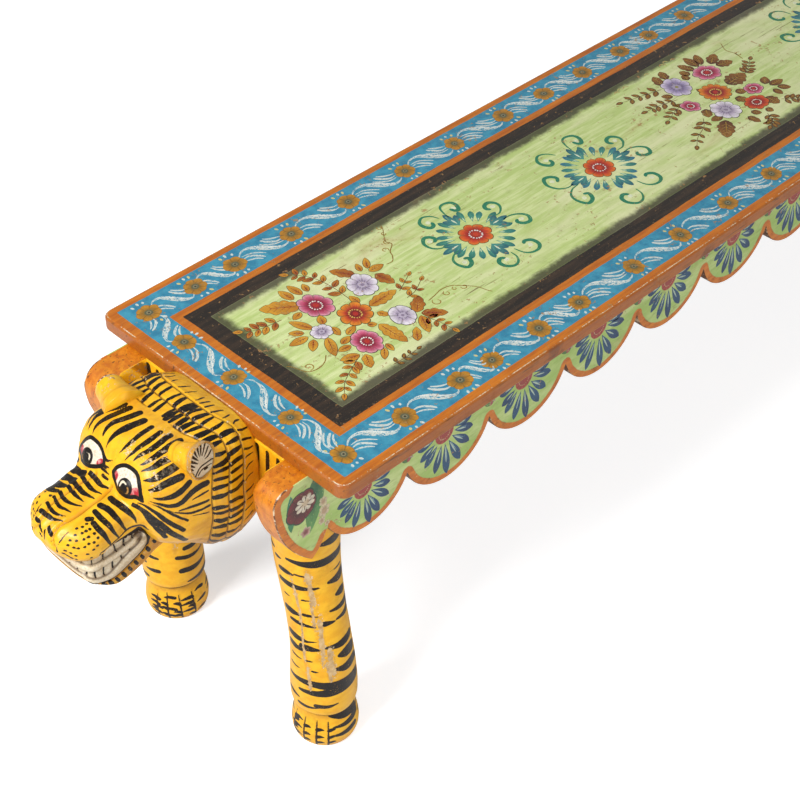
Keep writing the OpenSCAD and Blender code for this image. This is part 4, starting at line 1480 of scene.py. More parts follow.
def leg_piece(end, end_name, side, side_name):
    """Painted leg with a paw; its top is hidden in the bracket, the apron and the end rail."""
    heights, rings = leg_rings()
    ledge = (UNDER - (RAIL_HI.z - RAIL_LO.z)) / MM
    flat = rings.reshape(-1, 3).copy()
    rng = random.Random(200 + (side > 0) + 2 * (end > 0))
    front = side < 0
    chart = make_chart(heights, rings)
    fields = {key: unpainted(flat) for key in ("ink", "cream", "red")}
    strokes = leg_strokes(front, rng)
    if not front or end > 0:
        strokes = [
            (a, b, [(h + 3.5 * math.sin(h / 23 + k), g) for h, g in path])
            for k, (a, b, path) in enumerate(strokes)
        ]
    fields["ink"] = paint(flat, strokes, chart)
    flat += wobble(flat, 60, 41 + int(front))[:, None] * 0.35
    angle = np.tile(
        np.degrees(np.linspace(0, 2 * math.pi, rings.shape[1], endpoint=False)), rings.shape[0],
    )
    height = np.repeat(heights, rings.shape[1])
    uneven = 0.22 * wobble(flat * [1, 1, 0.25], 7, 61) + 0.12 * wobble(flat, 4, 62)
    streak = np.max([
        bump(angle + 3 * np.sin(height / 19), turn, wide)
        * np.clip(2.2 * (1 - np.abs(height - at) / half), 0, 1)
        for turn, at, wide, half in LEG_PATCHES
    ], axis=0)
    toes = (
        np.max([bump(angle, t if front else (t - 67) % 360, 1.6) for t in TOE_LINES], axis=0)
        * (height < 44)
    )
    fields["worn"] = 0.12 + (1.35 + 1.2 * uneven) * streak + 0.7 * bump(height, 0, 2)
    # Painted shade: dark brown in the ankle groove and along the toes, darker at the foot's bottom and
    # beside the ankle groove; ochre round the bare streaks
    fields["cut"] = np.clip(bump(height, 54, 2.4), 0, 1) + 0.3 * toes
    fields["ochre_and_shade"] = 0.5 * bump(height, 0, 8) + 0.5 * bump(height, 50, 5) + 0.5 * bump(streak, 0.45, 0.25)
    flat[:, 0] = np.where(flat[:, 2] > ledge, np.maximum(flat[:, 0], RAIL_LO.x / MM + 1), flat[:, 0])
    flat[:, 2] = np.clip(flat[:, 2], 0, LEG_TOP)
    shaped = flat.reshape(rings.shape)
    verts, faces = tube_mesh(shaped)
    count = rings.shape[1]
    fields = {
        key: np.concatenate([v, [v[:count].mean(), v[-count:].mean()]]) for key, v in fields.items()
    }
    verts = verts * [-end, -side, 1]
    verts = verts * MM + [0, SHIFT, 0]
    add_piece(
        f"leg_{side_name}_{end_name}_carving", verts, faces, [TIGER],
        [f"leg_{side_name}_{end_name}"], fields=fields,
    )


def rail_piece(end_name):
    """End rail behind the neck, yellow with curved stripes."""
    lo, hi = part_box(f"end_rail_{end_name}")
    cols_y, soft = 90, 1.5 * MM
    section = []
    for cx, cz, start in ((hi.x, hi.z, 0), (lo.x, hi.z, 90), (lo.x, lo.z, 180), (hi.x, lo.z, 270)):
        for step in range(5):
            a = math.radians(start + step * 22.5)
            sx, sz = (-1 if cx == hi.x else 1) * soft, (-1 if cz == hi.z else 1) * soft
            section.append((cx + sx + soft * math.cos(a), cz + sz + soft * math.sin(a)))
    dense = []
    for a, b in zip(section, section[1:] + section[:1]):
        steps = max(1, int(math.hypot(b[0] - a[0], b[1] - a[1]) / (2.4 * MM)))
        dense += [
            (a[0] + (b[0] - a[0]) * k / steps, a[1] + (b[1] - a[1]) * k / steps) for k in range(steps)
        ]
    ys = np.linspace(lo.y, hi.y, cols_y)
    rings = np.array([[(x, y, z) for x, z in dense] for y in ys])
    verts, faces = tube_mesh(rings)
    face_mm = np.stack([np.zeros(len(verts)), verts[:, 1] / MM, (verts[:, 2] - UNDER) / MM], -1)
    rng = random.Random(7)
    strokes = []
    for k in range(15):
        y = (lo.y / MM) + 8 + k * 16
        lean = 8 if y < SHIFT / MM else -8
        path = np.array(
            [(0, y, -6), (0, y + lean * 0.3, -38), (0, y + lean, -70), (0, y + 1.8 * lean, -101)], float,
        )
        strokes.append(stroke_distance(face_mm, curve_points(path), rng.uniform(5, 8), 1.5))
    blank = unpainted(verts)
    fields = {"ink": np.min(strokes, axis=0), "cream": blank, "red": blank}
    low = bump(verts[:, 2], lo.z, 3 * MM)
    fields["worn"], fields["cut"], fields["ochre_and_shade"] = 0.15 + 0.8 * low, 0 * low, 0.4 * low
    add_piece(
        f"rail_{end_name}_painted", verts, faces, [TIGER], [f"end_rail_{end_name}"],
        fields=fields,
    )


# Scalloped aprons
NOTCH = UNDER / MM - 88
SCALLOPS, END_SCALLOP_W, DROP, END_DROP = 11, 115, 48, 38
FIRST = (APRON_HI.x - APRON_LO.x) / 2 / MM
SCALLOP_W = (2 * FIRST - 2 * END_SCALLOP_W) / SCALLOPS


def scallop_cells():
    """(middle, width, drop) of every scallop, from left to right, in millimetres."""
    cells = [(-FIRST + END_SCALLOP_W / 2, END_SCALLOP_W, END_DROP)]
    cells += [(-FIRST + END_SCALLOP_W + (k + 0.5) * SCALLOP_W, SCALLOP_W, DROP) for k in range(SCALLOPS)]
    cells.append((FIRST - END_SCALLOP_W / 2, END_SCALLOP_W, END_DROP))
    return cells


def scallop_outline(steps=40):
    """Lower edge of an apron as (x, z) points."""
    points = []
    for middle, width, drop in scallop_cells():
        radius = ((width / 2) ** 2 + drop**2) / (2 * drop)
        half = math.asin(width / 2 / radius)
        for k in range(steps + (middle > FIRST - width)):
            a = -half + 2 * half * k / steps
            points.append((middle + radius * math.sin(a), NOTCH + radius - drop - radius * math.cos(a)))
    return np.array(points)


def apron_piece(node, face_y, back_y):
    """Closed sheet: dense rows on the painted face, eased edges, plain back."""
    edge = scallop_outline()
    ease = 1.2
    out = -1 if face_y < back_y else 1
    rows, back_rows = 24, 4
    loops = []
    for x, z in edge:
        front = [
            (x, face_y, z + ease + (UNDER / MM - z - ease) * (1 - s)) for s in np.linspace(0, 1, rows)
        ]
        turn = [(x, face_y - out * ease * 0.3, z + ease * 0.3), (x, face_y - out * ease, z)]
        back = [(x, back_y + out * ease, z), (x, back_y, z + ease)]
        up = [
            (x, back_y, z + ease + (UNDER / MM - z - ease) * s) for s in np.linspace(0, 1, back_rows)[1:]
        ]
        loops.append(front + turn + back + up)
    rings = np.array(loops) * MM
    verts, faces = tube_mesh(rings)
    flat = verts[:, [0, 2]] / MM
    gap = outline_gap(flat, edge)
    slots = []
    for face in faces:
        inner = sum(1 for v in face if abs(verts[v][1] / MM - back_y) < ease + 0.1)
        slots.append(1 if inner == len(face) else 0)
    add_piece(
        f"{node}_painted", verts, faces, [APRON, RAW], [node], smooth=False,
        fields={"edge": gap}, face_slots=slots,
    )


def bracket_outline(lo, hi, corner, sweep):
    """Closed side view of a left bracket, (x, z) in millimetres, and where its lower edge starts."""
    end, joint, top = lo.x / MM, hi.x / MM, hi.z / MM
    cusp_z = lo.z / MM
    points = [(joint, top)]
    points += [(x, top) for x in np.linspace(joint, end + corner, 8)[1:-1]]
    for a in np.linspace(90, 180, 14):
        points.append(
            (
                end + corner + corner * math.cos(math.radians(a)),
                top - corner + corner * math.sin(math.radians(a)),
            )
        )
    sweep_z = top - corner
    last = math.asin((sweep_z - cusp_z) / sweep)
    for a in np.linspace(0, last, 30)[1:]:
        points.append((end + sweep - sweep * math.cos(a), sweep_z - sweep * math.sin(a)))
    start = len(points)
    cusp = points[-1]
    for t in np.linspace(0, 1, 16)[1:]:
        sag = -5 * math.sin(math.pi * t)
        points.append((cusp[0] + (joint - cusp[0]) * t, cusp[1] + (NOTCH - cusp[1]) * t + sag))
    points += [(joint, z) for z in np.linspace(NOTCH, top, 8)[1:-1]]
    return np.array(points), start


def shrunk_loop(loop, distance, middle):
    """The loop moved toward a middle point by a distance, so that its sharp cusp never folds over."""
    toward = middle - loop
    return loop + toward / np.linalg.norm(toward, axis=1, keepdims=True) * distance


def bracket_piece(end, end_name, side, side_name):
    """Corner bracket: painted outer face, worn orange edge, rounded inner arris."""
    node = f"bracket_{side_name}_{end_name}"
    lo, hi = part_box(f"bracket_{side_name}_left")
    corner, sweep = (18, 132) if side < 0 else (25, 112)
    loop, start = bracket_outline(lo, hi, corner, sweep)
    outer = lo.y / MM if side < 0 else hi.y / MM
    inner = hi.y / MM if side < 0 else lo.y / MM
    way = 1 if outer < inner else -1
    soft, slim = 7.0, 1.4
    levels = [(inset, outer) for inset in (13, 10, 7, 4.5, 2.6)]
    levels += [
        (slim * (1 - math.sin(a)), outer + way * slim * (1 - math.cos(a)))
        for a in np.linspace(0, math.pi / 2, 4)
    ]
    levels += [(0, outer + way * t) for t in np.linspace(4, abs(inner - outer) - soft, 8)]
    levels += [
        (soft * (1 - math.cos(a)), inner - way * soft * (1 - math.sin(a)))
        for a in np.linspace(0, math.pi / 2, 7)[1:]
    ]
    levels += [(inset, inner) for inset in (9, 12)]
    rings = []
    border = loop[7 : start + 12]
    middle = np.array([(lo.x + hi.x) / 2 / MM + 4, hi.z / MM - 52])
    for inset, y in levels:
        moved = shrunk_loop(loop, inset, middle)
        rings.append(np.stack([moved[:, 0], np.full(len(moved), y), moved[:, 1]], -1))
    rings = np.array(rings)
    # the flat top and the joint stay in their planes
    top_row = np.abs(loop[:, 1] - hi.z / MM) < 0.01
    joint_row = np.abs(loop[:, 0] - hi.x / MM) < 0.01
    rings[:, top_row, 2] = hi.z / MM
    rings[:, joint_row, 0] = hi.x / MM
    verts = rings.reshape(-1, 3)
    rows, cols = rings.shape[:2]
    faces = (
        ring_faces(rows, cols)
        + [tuple(range(cols))[::-1], tuple((rows - 1) * cols + k for k in range(cols))]
    )
    gap = outline_gap(verts[:, [0, 2]], border)
    depth = np.abs(verts[:, 1] - outer)
    edge = np.where(depth < 1.5, np.maximum(gap - 0.2, 0), np.abs(depth - 1.4))
    slots = []
    for face in faces:
        deepest = max(abs(verts[v][1] - outer) for v in face)
        nearest = min(abs(verts[v][1] - outer) for v in face)
        slots.append(0 if deepest < slim + 0.05 else (2 if nearest > abs(inner - outer) - 1.0 else 1))
    blank = unpainted(verts)
    rng = random.Random(17 + (side > 0))
    strokes = []
    for k in range(9):
        z = hi.z / MM - 14 - k * 12
        x = lo.x / MM + 16 + k * 2.5
        path = np.array([(x, inner, z), (x + 12, inner, z - 1.5), (x + 24, inner, z + 1)], float)
        strokes.append(stroke_distance(verts, curve_points(path), rng.uniform(5, 7), 2))
    fields = {"edge": edge, "ink": np.min(strokes, axis=0), "cream": blank, "red": blank}
    fields["worn"] = np.full(len(verts), 0.5)
    fields["cut"] = fields["ochre_and_shade"] = np.zeros(len(verts))
    smooth = [slot != 0 for slot in slots]
    verts = verts * [-end, 1, 1] * MM
    add_piece(
        f"{node}_painted", verts, faces, [APRON, WORN_ORANGE, TIGER], [node],
        smooth=smooth,
        fields=fields, face_slots=slots,
    )


def board_loop(inset_x, inset_y, z, radius, long_steps=90, short_steps=24, arc=7):
    hx, hy = END - inset_x * MM, HALF_W - inset_y * MM
    r = max(radius * MM, 0.15 * MM)
    points = []
    for sx, sy, start in ((1, 1, 0), (-1, 1, 90), (-1, -1, 180), (1, -1, 270)):
        centre = (sx * (hx - r), sy * (hy - r))
        for k in range(arc):
            a = math.radians(start + 90 * k / (arc - 1))
            points.append((centre[0] + r * math.cos(a), centre[1] + r * math.sin(a)))
        steps = long_steps if start in (0, 180) else short_steps
        next_corner = {0: (-1, 1), 90: (-1, -1), 180: (1, -1), 270: (1, 1)}[start]
        last = points[-1]
        a = math.radians(start + 90)
        target = (
            next_corner[0] * (hx - r) + r * math.cos(a), next_corner[1] * (hy - r) + r * math.sin(a),
        )
        for k in range(1, steps):
            t = k / steps
            points.append((last[0] + (target[0] - last[0]) * t, last[1] + (target[1] - last[1]) * t))
    return [(x, y, z) for x, y in points]


END_INSETS = [(0, 0), (11.5, 13.7), (57.5, 49.7), (67.5, 60), (88, 82), (115, 109), (140, 134)]


def board_piece():
    """Seat board: rounded arrises and nested loops on top that carry the distance from the edge."""
    soft = 3.6
    rings, inset = [], []

    def add(side_in, z, value):
        end_in = float(np.interp(max(side_in, 0), *zip(*END_INSETS)))
        rings.append(board_loop(end_in, side_in, z, 12 - side_in))
        inset.append(value)

    thick = (TOP - UNDER) / MM
    for a in np.linspace(0, math.pi / 2, 6):
        add(soft * (1 - math.sin(a)), UNDER + soft * (1 - math.cos(a)) * MM, -thick - soft + a * soft)
    for t in (6, 9, 12):
        add(0, UNDER + t * MM, -(thick - t))
    for a in np.linspace(0, math.pi / 2, 7):
        add(
            soft * (1 - math.cos(a)), TOP - soft * (1 - math.sin(a)) * MM,
            -soft * (1 - a) if a < 1 else soft * (a - 1) / 0.57,
        )
    for value in (6, 9, 11.5, 16, 24, 34, 46, 57.5, 62, 67.5, 76, 88, 100, 115, 140):
        add(value, TOP, value)
    rings = np.array(rings)
    rows, cols = rings.shape[:2]
    verts = rings.reshape(-1, 3)
    faces = ring_faces(rows, cols)
    faces += [tuple(range(cols))[::-1], tuple((rows - 1) * cols + k for k in range(cols))]
    slots = [0] * (len(faces) - 2) + [1, 0]
    values = np.repeat(inset, cols)
    add_piece(
        "board_painted", verts, faces, [BOARD, RAW], ["top_board"], smooth=False,
        fields={"inset": values}, face_slots=slots,
    )


def underside():
    """Battens and screws keep their solids and get bare wood and steel."""
    for name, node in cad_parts.items():
        finish = RAW if name.startswith("batten") else STEEL if name.startswith("screws") else None
        if finish:
            node.data.materials.clear()
            node.data.materials.append(finish)


def build_bench():
    board_piece()
    apron_piece("apron_front", APRON_LO.y / MM, APRON_HI.y / MM)
    back_apron_lo, back_apron_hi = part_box("apron_back")
    apron_piece("apron_back", back_apron_hi.y / MM, back_apron_lo.y / MM)
    for end, end_name in ENDS:
        tiger_head(end, end_name)
        rail_piece(end_name)
        for side, side_name in SIDES:
            leg_piece(end, end_name, side, side_name)
            bracket_piece(end, end_name, side, side_name)
    underside()


# Painted ornament: thin closed shapes laid on a face, a few hundredths of a millimetre thick


class Inlay:
    """Collects painted shapes drawn in millimetres (right, up) and makes one mesh of them."""

    LAYER = 0.045
    SUNK = 0.15

    def __init__(self, ground, seed=1):
        self.verts, self.faces, self.tones, self.grounds = [], [], [], []
        self.along, self.across, self.dry = [], [], []
        self.ground = ground
        self.random = random.Random(seed)

    def point(self, spot, height, tone, along, across, dry):
        self.verts.append((spot[0], spot[1], height))
        self.tones.append(tone)
        self.grounds.append(self.ground)
        self.along.append(along)
        self.across.append(across)
        self.dry.append(dry)
        return len(self.verts) - 1

    def rings(self, loops, tones, level, dry=0.0, centre=None):
        """Closed shape from its outline inward; tones gives a list of colours for each loop."""
        height = level * self.LAYER
        count = len(loops[0])
        rows = []
        base = [
            self.point(p, -self.SUNK, t, k, 1.0, dry) for k, (p, t) in enumerate(zip(loops[0], tones[0]))
        ]
        for j, (loop, tone) in enumerate(zip(loops, tones)):
            inward = 1 - j / len(loops)
            rows.append(
                [
                    self.point(p, height, t, 9.0 * k / count, inward, dry)
                    for k, (p, t) in enumerate(zip(loop, tone))
                ]
            )
        for a, b in zip([base] + rows[:-1], rows):
            self.faces += [(a[k], a[(k + 1) % count], b[(k + 1) % count], b[k]) for k in range(count)]
        middle = np.mean(loops[-1], axis=0) if centre is None else centre
        top = self.point(middle, height, tones[-1][0], 0, 0, dry)
        bottom = self.point(middle, -self.SUNK, tones[-1][0], 0, 0, dry)
        self.faces += [(rows[-1][k], rows[-1][(k + 1) % count], top) for k in range(count)]
        self.faces += [(base[(k + 1) % count], base[k], bottom) for k in range(count)]

    def ribbon(self, path, widths, tone, level, dry=0.0, end_tone=None, count=None, blunt=False):
        """Brush stroke along a path; widths are its full widths, spread evenly along it."""
        path = curve_points(path, count or max(10, 6 * len(path)))
        steps = np.linalg.norm(np.diff(path, axis=0), axis=1)
        along = np.concatenate([[0], np.cumsum(steps)])
        t = along / along[-1]
        half = 0.5 * np.interp(t, np.linspace(0, 1, len(widths)), widths)
        if not blunt:
            half = (
                half * np.sqrt(np.clip(np.minimum(t, 1 - t) * along[-1] / np.maximum(half, 0.3), 0.06, 1))
            )
        ahead = np.gradient(path, axis=0)
        ahead /= np.linalg.norm(ahead, axis=1, keepdims=True) + 1e-9
        side = np.stack([-ahead[:, 1], ahead[:, 0]], -1)
        height = level * self.LAYER
        end_tone = end_tone or tone
        rows = []
        for k, spot in enumerate(path):
            colour = tuple(a + (b - a) * t[k] for a, b in zip(tone, end_tone))
            edge_l, edge_r = spot + side[k] * half[k], spot - side[k] * half[k]
            corners = (
                (edge_l, -self.SUNK, 1), (edge_l, height, 1), (edge_r, height, -1),
                (edge_r, -self.SUNK, -1),
            )
            rows.append([self.point(edge, up, colour, along[k], way, dry) for edge, up, way in corners])
        for a, b in zip(rows[:-1], rows[1:]):
            self.faces += [(a[k], b[k], b[(k + 1) % 4], a[(k + 1) % 4]) for k in range(4)]
        self.faces += [tuple(rows[0]), tuple(rows[-1][::-1])]

    def dot(self, centre, radius, tone, level, sides=12, dry=0.0, flat=1.0):
        angles = np.linspace(0, 2 * math.pi, sides, endpoint=False)
        turn = self.random.uniform(0, 1)
        loop = [
            (
                centre[0] + radius * math.cos(a),
                centre[1] + radius * flat * math.sin(a + 0.15 * math.sin(turn * 9)),
            )
            for a in angles
        ]
        self.rings([loop], [[tone] * sides], level, dry)

    def petal(
        self, base, tip, width, tone, level, tip_tone=None, outline=None, lobed=0, full=0.5, sides=11,
        dry=0.0,
    ):
        """Leaf or petal from base to tip, rounded or with lobes; outline is (colour, extra width)."""
        base, tip = np.array(base, float), np.array(tip, float)
        run = tip - base
        length = np.linalg.norm(run)
        ahead = run / length
        side = np.array([-ahead[1], ahead[0]])
        if outline:
            colour, extra = outline
            grown = (base - ahead * extra, tip + ahead * extra, width + 2 * extra)
            self.petal(*grown, colour, level - 0.5, lobed=lobed, full=full, sides=sides, dry=dry * 0.5)
        t = np.linspace(0, 1, 4 * sides if lobed else sides + 2)[1:-1]
        half = 0.5 * width * np.sin(math.pi * t ** (math.log(0.5) / math.log(full))) ** 0.72
        if lobed:
            half = half * (0.80 + 0.24 * np.abs(np.sin(math.pi * lobed * t)))
        left = [base + ahead * length * k + side * h for k, h in zip(t, half)]
        right = [base + ahead * length * k - side * h for k, h in zip(t, half)]
        loop = np.array([base] + left + [tip] + right[::-1])
        share = ((loop - base) @ ahead) / length
        tip_tone = tip_tone or tone
        tones = [tuple(a + (b - a) * s for a, b in zip(tone, tip_tone)) for s in share]
        spine = base + ahead * (((loop - base) @ ahead)[:, None])
        inner = spine + (loop - spine) * 0.4
        deep = [tuple(c * 0.9 for c in tone_) for tone_ in tones]
        self.rings([loop, inner], [tones, deep], level, dry, centre=base + run * 0.5)

    def flower(
        self, centre, radius, petals, tones, level, squash=1.0, depth=0.16, turn=0.0, outline=None,
        shares=None, streak=0.12, sharp=0.5,
    ):
        """Lobed flower whose colours go from the rim inward; shares are the radii of those colours."""
        count = 12 * petals
        angles = np.linspace(0, 2 * math.pi, count, endpoint=False)
        lobes = 1 - depth + depth * np.abs(np.cos(petals * angles / 2 + turn * petals / 2)) ** sharp
        uneven = 1 + 0.05 * np.sin(2 * angles + self.random.uniform(0, 6))
        uneven = uneven + 0.03 * np.sin(5 * angles + self.random.uniform(0, 6))
        shape = np.stack([np.cos(angles) * lobes * uneven, np.sin(angles) * lobes * uneven * squash], -1)
        centre = np.array(centre, float)
        if outline:
            colour, extra = outline
            grown = centre + shape * (radius + extra)
            self.rings([grown, centre + shape * radius * 0.8], [[colour] * count] * 2, level - 0.5)
        shares = shares or np.linspace(1, 0.2, len(tones))
        cracks = np.clip(1 - np.abs(np.cos(petals * angles / 2 + turn * petals / 2)) * 3.2, 0, 1)
        loops, colours = [], []
        for share, tone in zip(shares, tones):
            loops.append(centre + shape * radius * share)
            shades = [
                1 + self.random.uniform(-streak, streak) - 0.55 * crack * min(1, 1.4 * share)
                for crack in cracks
            ]
            colours.append([tuple(min(1, c * s) for c in tone) for s in shades])
        self.rings(loops, colours, level)

    def beads(self, centre, radius, count, size, tone, level, squash=1.0):
        for k in range(count):
            a = 2 * math.pi * (k + self.random.uniform(-0.15, 0.15)) / count
            spot = (centre[0] + radius * math.cos(a), centre[1] + radius * squash * math.sin(a))
            self.dot(spot, size * self.random.uniform(0.75, 1.2), tone, level, sides=7)

    def mesh(self, name, place=None):
        """Mesh in metres; place turns (right, up, height) into the frame."""
        verts = np.array(self.verts)
        verts = place(verts) if place else verts
        mesh = bpy.data.meshes.new(name)
        mesh.from_pydata((verts * MM).tolist(), [], self.faces)
        mesh.materials.append(ORNAMENT)
        for field, values in (("tone", self.tones), ("ground", self.grounds)):
            layer = mesh.attributes.new(field, "FLOAT_COLOR", "POINT")
            flat = np.ones((len(values), 4), np.float32)
            flat[:, :3] = values
            layer.data.foreach_set("color", flat.ravel())
        for field, values in (("along", self.along), ("across", self.across), ("dry", self.dry)):
            store(mesh, field, values)
        turn_outward(mesh)
        return mesh


def ornament_paint():
    """Ornament: its own colours with brush streaks, dry ends and the chips of what lies under."""
    material, n = begin_material("ornament_paint")
    place = n.place()
    flakes, dirt, grain = age_masks(n, place, 0.30, 0.8, (0, 2, 3))
    brush = n.new(
        "CombineXYZ", {0: n.times(n.field("along"), 0.05), 1: n.times(n.field("across"), 0.75), 2: 0.0},
    )
    drift = n.new("VectorMath", {0: brush, 1: n.stretched(place, (30, 30, 30))}, operation="ADD")
    bristle = n.new("TexNoise", {"Vector": drift, "Scale": 3.2, "Detail": 3.0, "Roughness": 0.6})
    fine = n.noise(place, 520.0, 4.0, 0.7)
    tone = n.colour_field("tone")
    shade = n.rise(n.add(n.times(bristle, 0.6), n.times(fine, 0.4)), 0.3, 0.7, 0.78, 1.12)
    grey = n.new("CombineXYZ", {0: shade, 1: shade, 2: shade})
    colour = n.new("VectorMath", {0: tone, 1: grey}, operation="MULTIPLY")
    low, high = (n.math("SUBTRACT", limit, n.times(n.field("dry"), 0.2)) for limit in (0.62, 0.68))
    gaps = n.rise(n.add(n.times(bristle, 0.55), n.times(fine, 0.45)), low, high)
    colour = n.blend(n.times(gaps, n.rise(n.field("dry"), 0.0, 0.2)), colour, n.colour_field("ground"))
    colour = n.cover(colour, dirt, 0.16, "4A3520")
    specks = n.rise(n.noise(place, 750.0, 3.0, 0.7), 0.66, 0.70)
    colour = n.blend(n.times(specks, 0.5), colour, n.colour_field("ground"))
    colour = n.cover(colour, flakes, 0.75, "A67C49")
    rough = aged_roughness(n, grain, dirt, 0.32, 0.56)
    height = n.add(n.times(bristle, 0.5), n.times(flakes, -0.8))
    end_material(n, colour, rough, height, 0.0003, coat=0.12, coat_rough=0.3)
    return material


ORNAMENT = ornament_paint()
BORDER_BLUE, PANEL_GREEN, APRON_GREEN = srgb("3389A6"), srgb("BCCD7D"), srgb("B2C673")
CHALK = srgb("D3DAD2")
INK = srgb("2B1A0E")


def border_flower(seed):
    """Ochre border flower with a grey-olive eye and white rays above and below."""
    art = Inlay(BORDER_BLUE, seed)
    petals = (6, 7, 8)[seed % 3]
    art.flower(
        (0, 0), 13.6, petals, paints("B67C1C BB8220 A8741F 8E6A28 6F6238"), 1,
        depth=0.15, turn=seed * 0.37, outline=(srgb("7A4B14"), 0.3), shares=[1, 0.85, 0.62, 0.42, 0.3],
        sharp=0.6,
    )
    art.dot((0, 0), 4.4, srgb("5A5C44"), 2, 16)
    art.dot((0.2, 0.1), 2.7, srgb("878062"), 3, 12)
    art.dot((0.2, 0), 1.4, srgb("3C3826"), 4, 9)
    for way in (-1, 1):
        for lean in (-22, 1, 24):
            a = math.radians(90 * way + lean + art.random.uniform(-4, 4))
            near, far = 16.2 + art.random.uniform(-0.4, 0.4), 20.6 + art.random.uniform(-0.8, 0.9)
            path = [(near * math.cos(a), near * math.sin(a)), (far * math.cos(a), far * math.sin(a))]
            tone = CHALK if art.random.random() < 0.75 else srgb("D8C983")
            art.ribbon(path, [1.6, 3.0, 2.4], tone, 1, dry=0.35)
    return art


def border_scroll(seed):
    """White scroll that runs from one border flower to the next, 80 mm on, with nested arcs."""
    art = Inlay(BORDER_BLUE, seed)
    j = lambda v: v + art.random.uniform(-0.7, 0.7)
    path = [
        (11, j(6.5)), (17, j(11)), (25, j(13)), (33, j(10.5)), (41, j(3)), (50, j(-6)), (58, j(-11.5)),
        (66, j(-12)), (71, j(-8)),
    ]
    art.ribbon(path, [1.4, 2.2, 3.4, 6.4, 9.0, 8.4, 5.6, 3.0, 1.2], CHALK, 1, dry=0.62, count=46)
    art.ribbon(
        [(p[0] + 1.5, p[1] + 1.2) for p in path[2:7]], [0.8, 1.8, 2.2, 1.4], srgb("EDEFE6"), 2, dry=0.55,
        count=24,
    )
    arcs = [
        ([(13, j(1)), (21, j(0)), (29, -6), (34, j(-13))], [1, 2.8, 3.4, 2.2]),
        ([(12, j(-4)), (18, j(-5)), (25, -9), (30, j(-14))], [0.9, 2.2, 2.4, 1.4]),
    ]
    if seed % 2:
        arcs.append(([(14, j(5)), (24, j(4)), (32, -1), (39, j(-9))], [0.8, 2.0, 2.2, 1.2]))
    for points, widths in arcs:
        art.ribbon(points, widths, CHALK, 1, dry=0.5)
        art.ribbon([(82 - x, 1 - y) for x, y in points], [w * 1.1 for w in widths], CHALK, 1, dry=0.5)
    return art


def apron_flower(seed):
    """Half flower of an apron scallop: brick-red dome under the seat with navy petals that hang from it."""
    art = Inlay(APRON_GREEN, seed)
    spread = [(-86, 40), (-62, 42), (-40, 46), (-17, 55), (6, 62), (28, 60), (49, 54), (70, 48), (90, 42)]
    for lean, reach in spread:
        a = math.radians(-90 + lean + art.random.uniform(-3, 3))
        reach += art.random.uniform(-1.5, 1.5)
        base, tip = (16 * math.cos(a), 16 * math.sin(a)), (reach * math.cos(a), reach * math.sin(a))
        blue = srgb("0C3562") if art.random.random() < 0.6 else srgb("104A72")
        art.petal(base, tip, 11.5, srgb("1F557E"), 1, blue, full=0.62, sides=10, dry=0.10)
        slit = [
            (base[0] * 1.25, base[1] * 1.25),
            (base[0] + (tip[0] - base[0]) * 0.62, base[1] + (tip[1] - base[1]) * 0.62),
        ]
        art.ribbon(slit, [0.6, 2.1, 0.8], srgb("B9CDBB"), 2, dry=0.3)
        if art.random.random() < 0.5:
            art.ribbon(
                [(slit[0][0] + 1.4, slit[0][1]), (slit[1][0] + 1.2, slit[1][1] + 2)], [0.4, 0.9, 0.4],
                srgb("7FA7B4"), 2, dry=0.3,
            )
    angles = np.linspace(math.pi, 2 * math.pi, 19)
    dome = [(14 * math.cos(a), 14 * math.sin(a)) for a in angles]
    shade = [srgb("B5473C") if k % 3 else srgb("8F2C26") for k in range(len(dome))]
    inner = [(x * 0.55, y * 0.55 - 0.1) for x, y in dome]
    art.rings([dome, inner], [shade, [srgb("A33A30")] * len(dome)], 1.5)
    art.beads((0, 0), 8.4, 22, 0.7, srgb("D9B98C"), 2.5)
    return art


def notch_bud(seed):
    """Dark leaf and pink bud above a notch."""
    art = Inlay(APRON_GREEN, seed)
    art.petal(
        (-9, 13), (2, 2), 8, srgb("3E6B34"), 1, srgb("5E8B45"), outline=(srgb("2C3B1C"), 0.5), dry=0.25,
    )
    art.petal((8, 14), (2, 1), 6, srgb("4E7B3C"), 1, srgb("6E9850"), dry=0.35)
    art.dot((2, 4), 3.0, srgb("A94A55"), 2, 10, dry=0.35)
    art.ribbon([(-3, 9), (3, 8), (9, 4)], [1, 2.4, 1], srgb("B98F94"), 2, dry=0.5)
    return art


def bracket_flower(seed):
    """Red flower with a flaked cream heart, a dark leaf and bare patches, from the seat's end and top."""
    art = Inlay(APRON_GREEN, seed)
    art.petal((16, -22), (0, -98), 24, srgb("2A6A40"), 1, srgb("6AA254"), full=0.42, dry=0.15)
    art.petal((-22, -30), (-24, -80), 12, srgb("2E8068"), 1, srgb("3F8A50"), full=0.5, dry=0.2)
    art.flower(
        (-9, -54), 19, 7, paints("7A1A20 6A141A 4E1014"), 2, 1.05, depth=0.07,
        outline=(srgb("23402A"), 1.6), shares=[1, 0.8, 0.5],
    )
    art.flower(
        (-4, -52), 13, 9, paints("D6C8AE E6DCC8 CDB796"), 4, 0.9, depth=0.4, turn=0.4,
        shares=[1, 0.6, 0.3],
    )
    for k in range(6):
        a = 1.05 * k + art.random.uniform(-0.2, 0.2)
        path = [(-4 + r * math.cos(a + r / 30), -52 + r * math.sin(a + r / 30)) for r in (3, 6, 10)]
        art.ribbon(path, [0.5, 1.2, 0.4], srgb("5A3A2A"), 5, dry=0.3)
    art.flower(
        (-5, -92), 7.5, 5, paints("C9B79A B98A7C 8A4A48"), 2, 0.9, depth=0.4, turn=0.8,
        shares=[1, 0.6, 0.4],
    )
    for k, (spot, size) in enumerate((((20, -66), 6), ((21, -79), 8), ((17, -91), 5), ((24, -99), 3.5))):
        art.flower(
            spot, size, 6, paints("C6B98C D3C6A2 B99A78"), 3 + k, 1.2, depth=0.4, turn=size,
            shares=[1, 0.7, 0.4],
        )
    return art


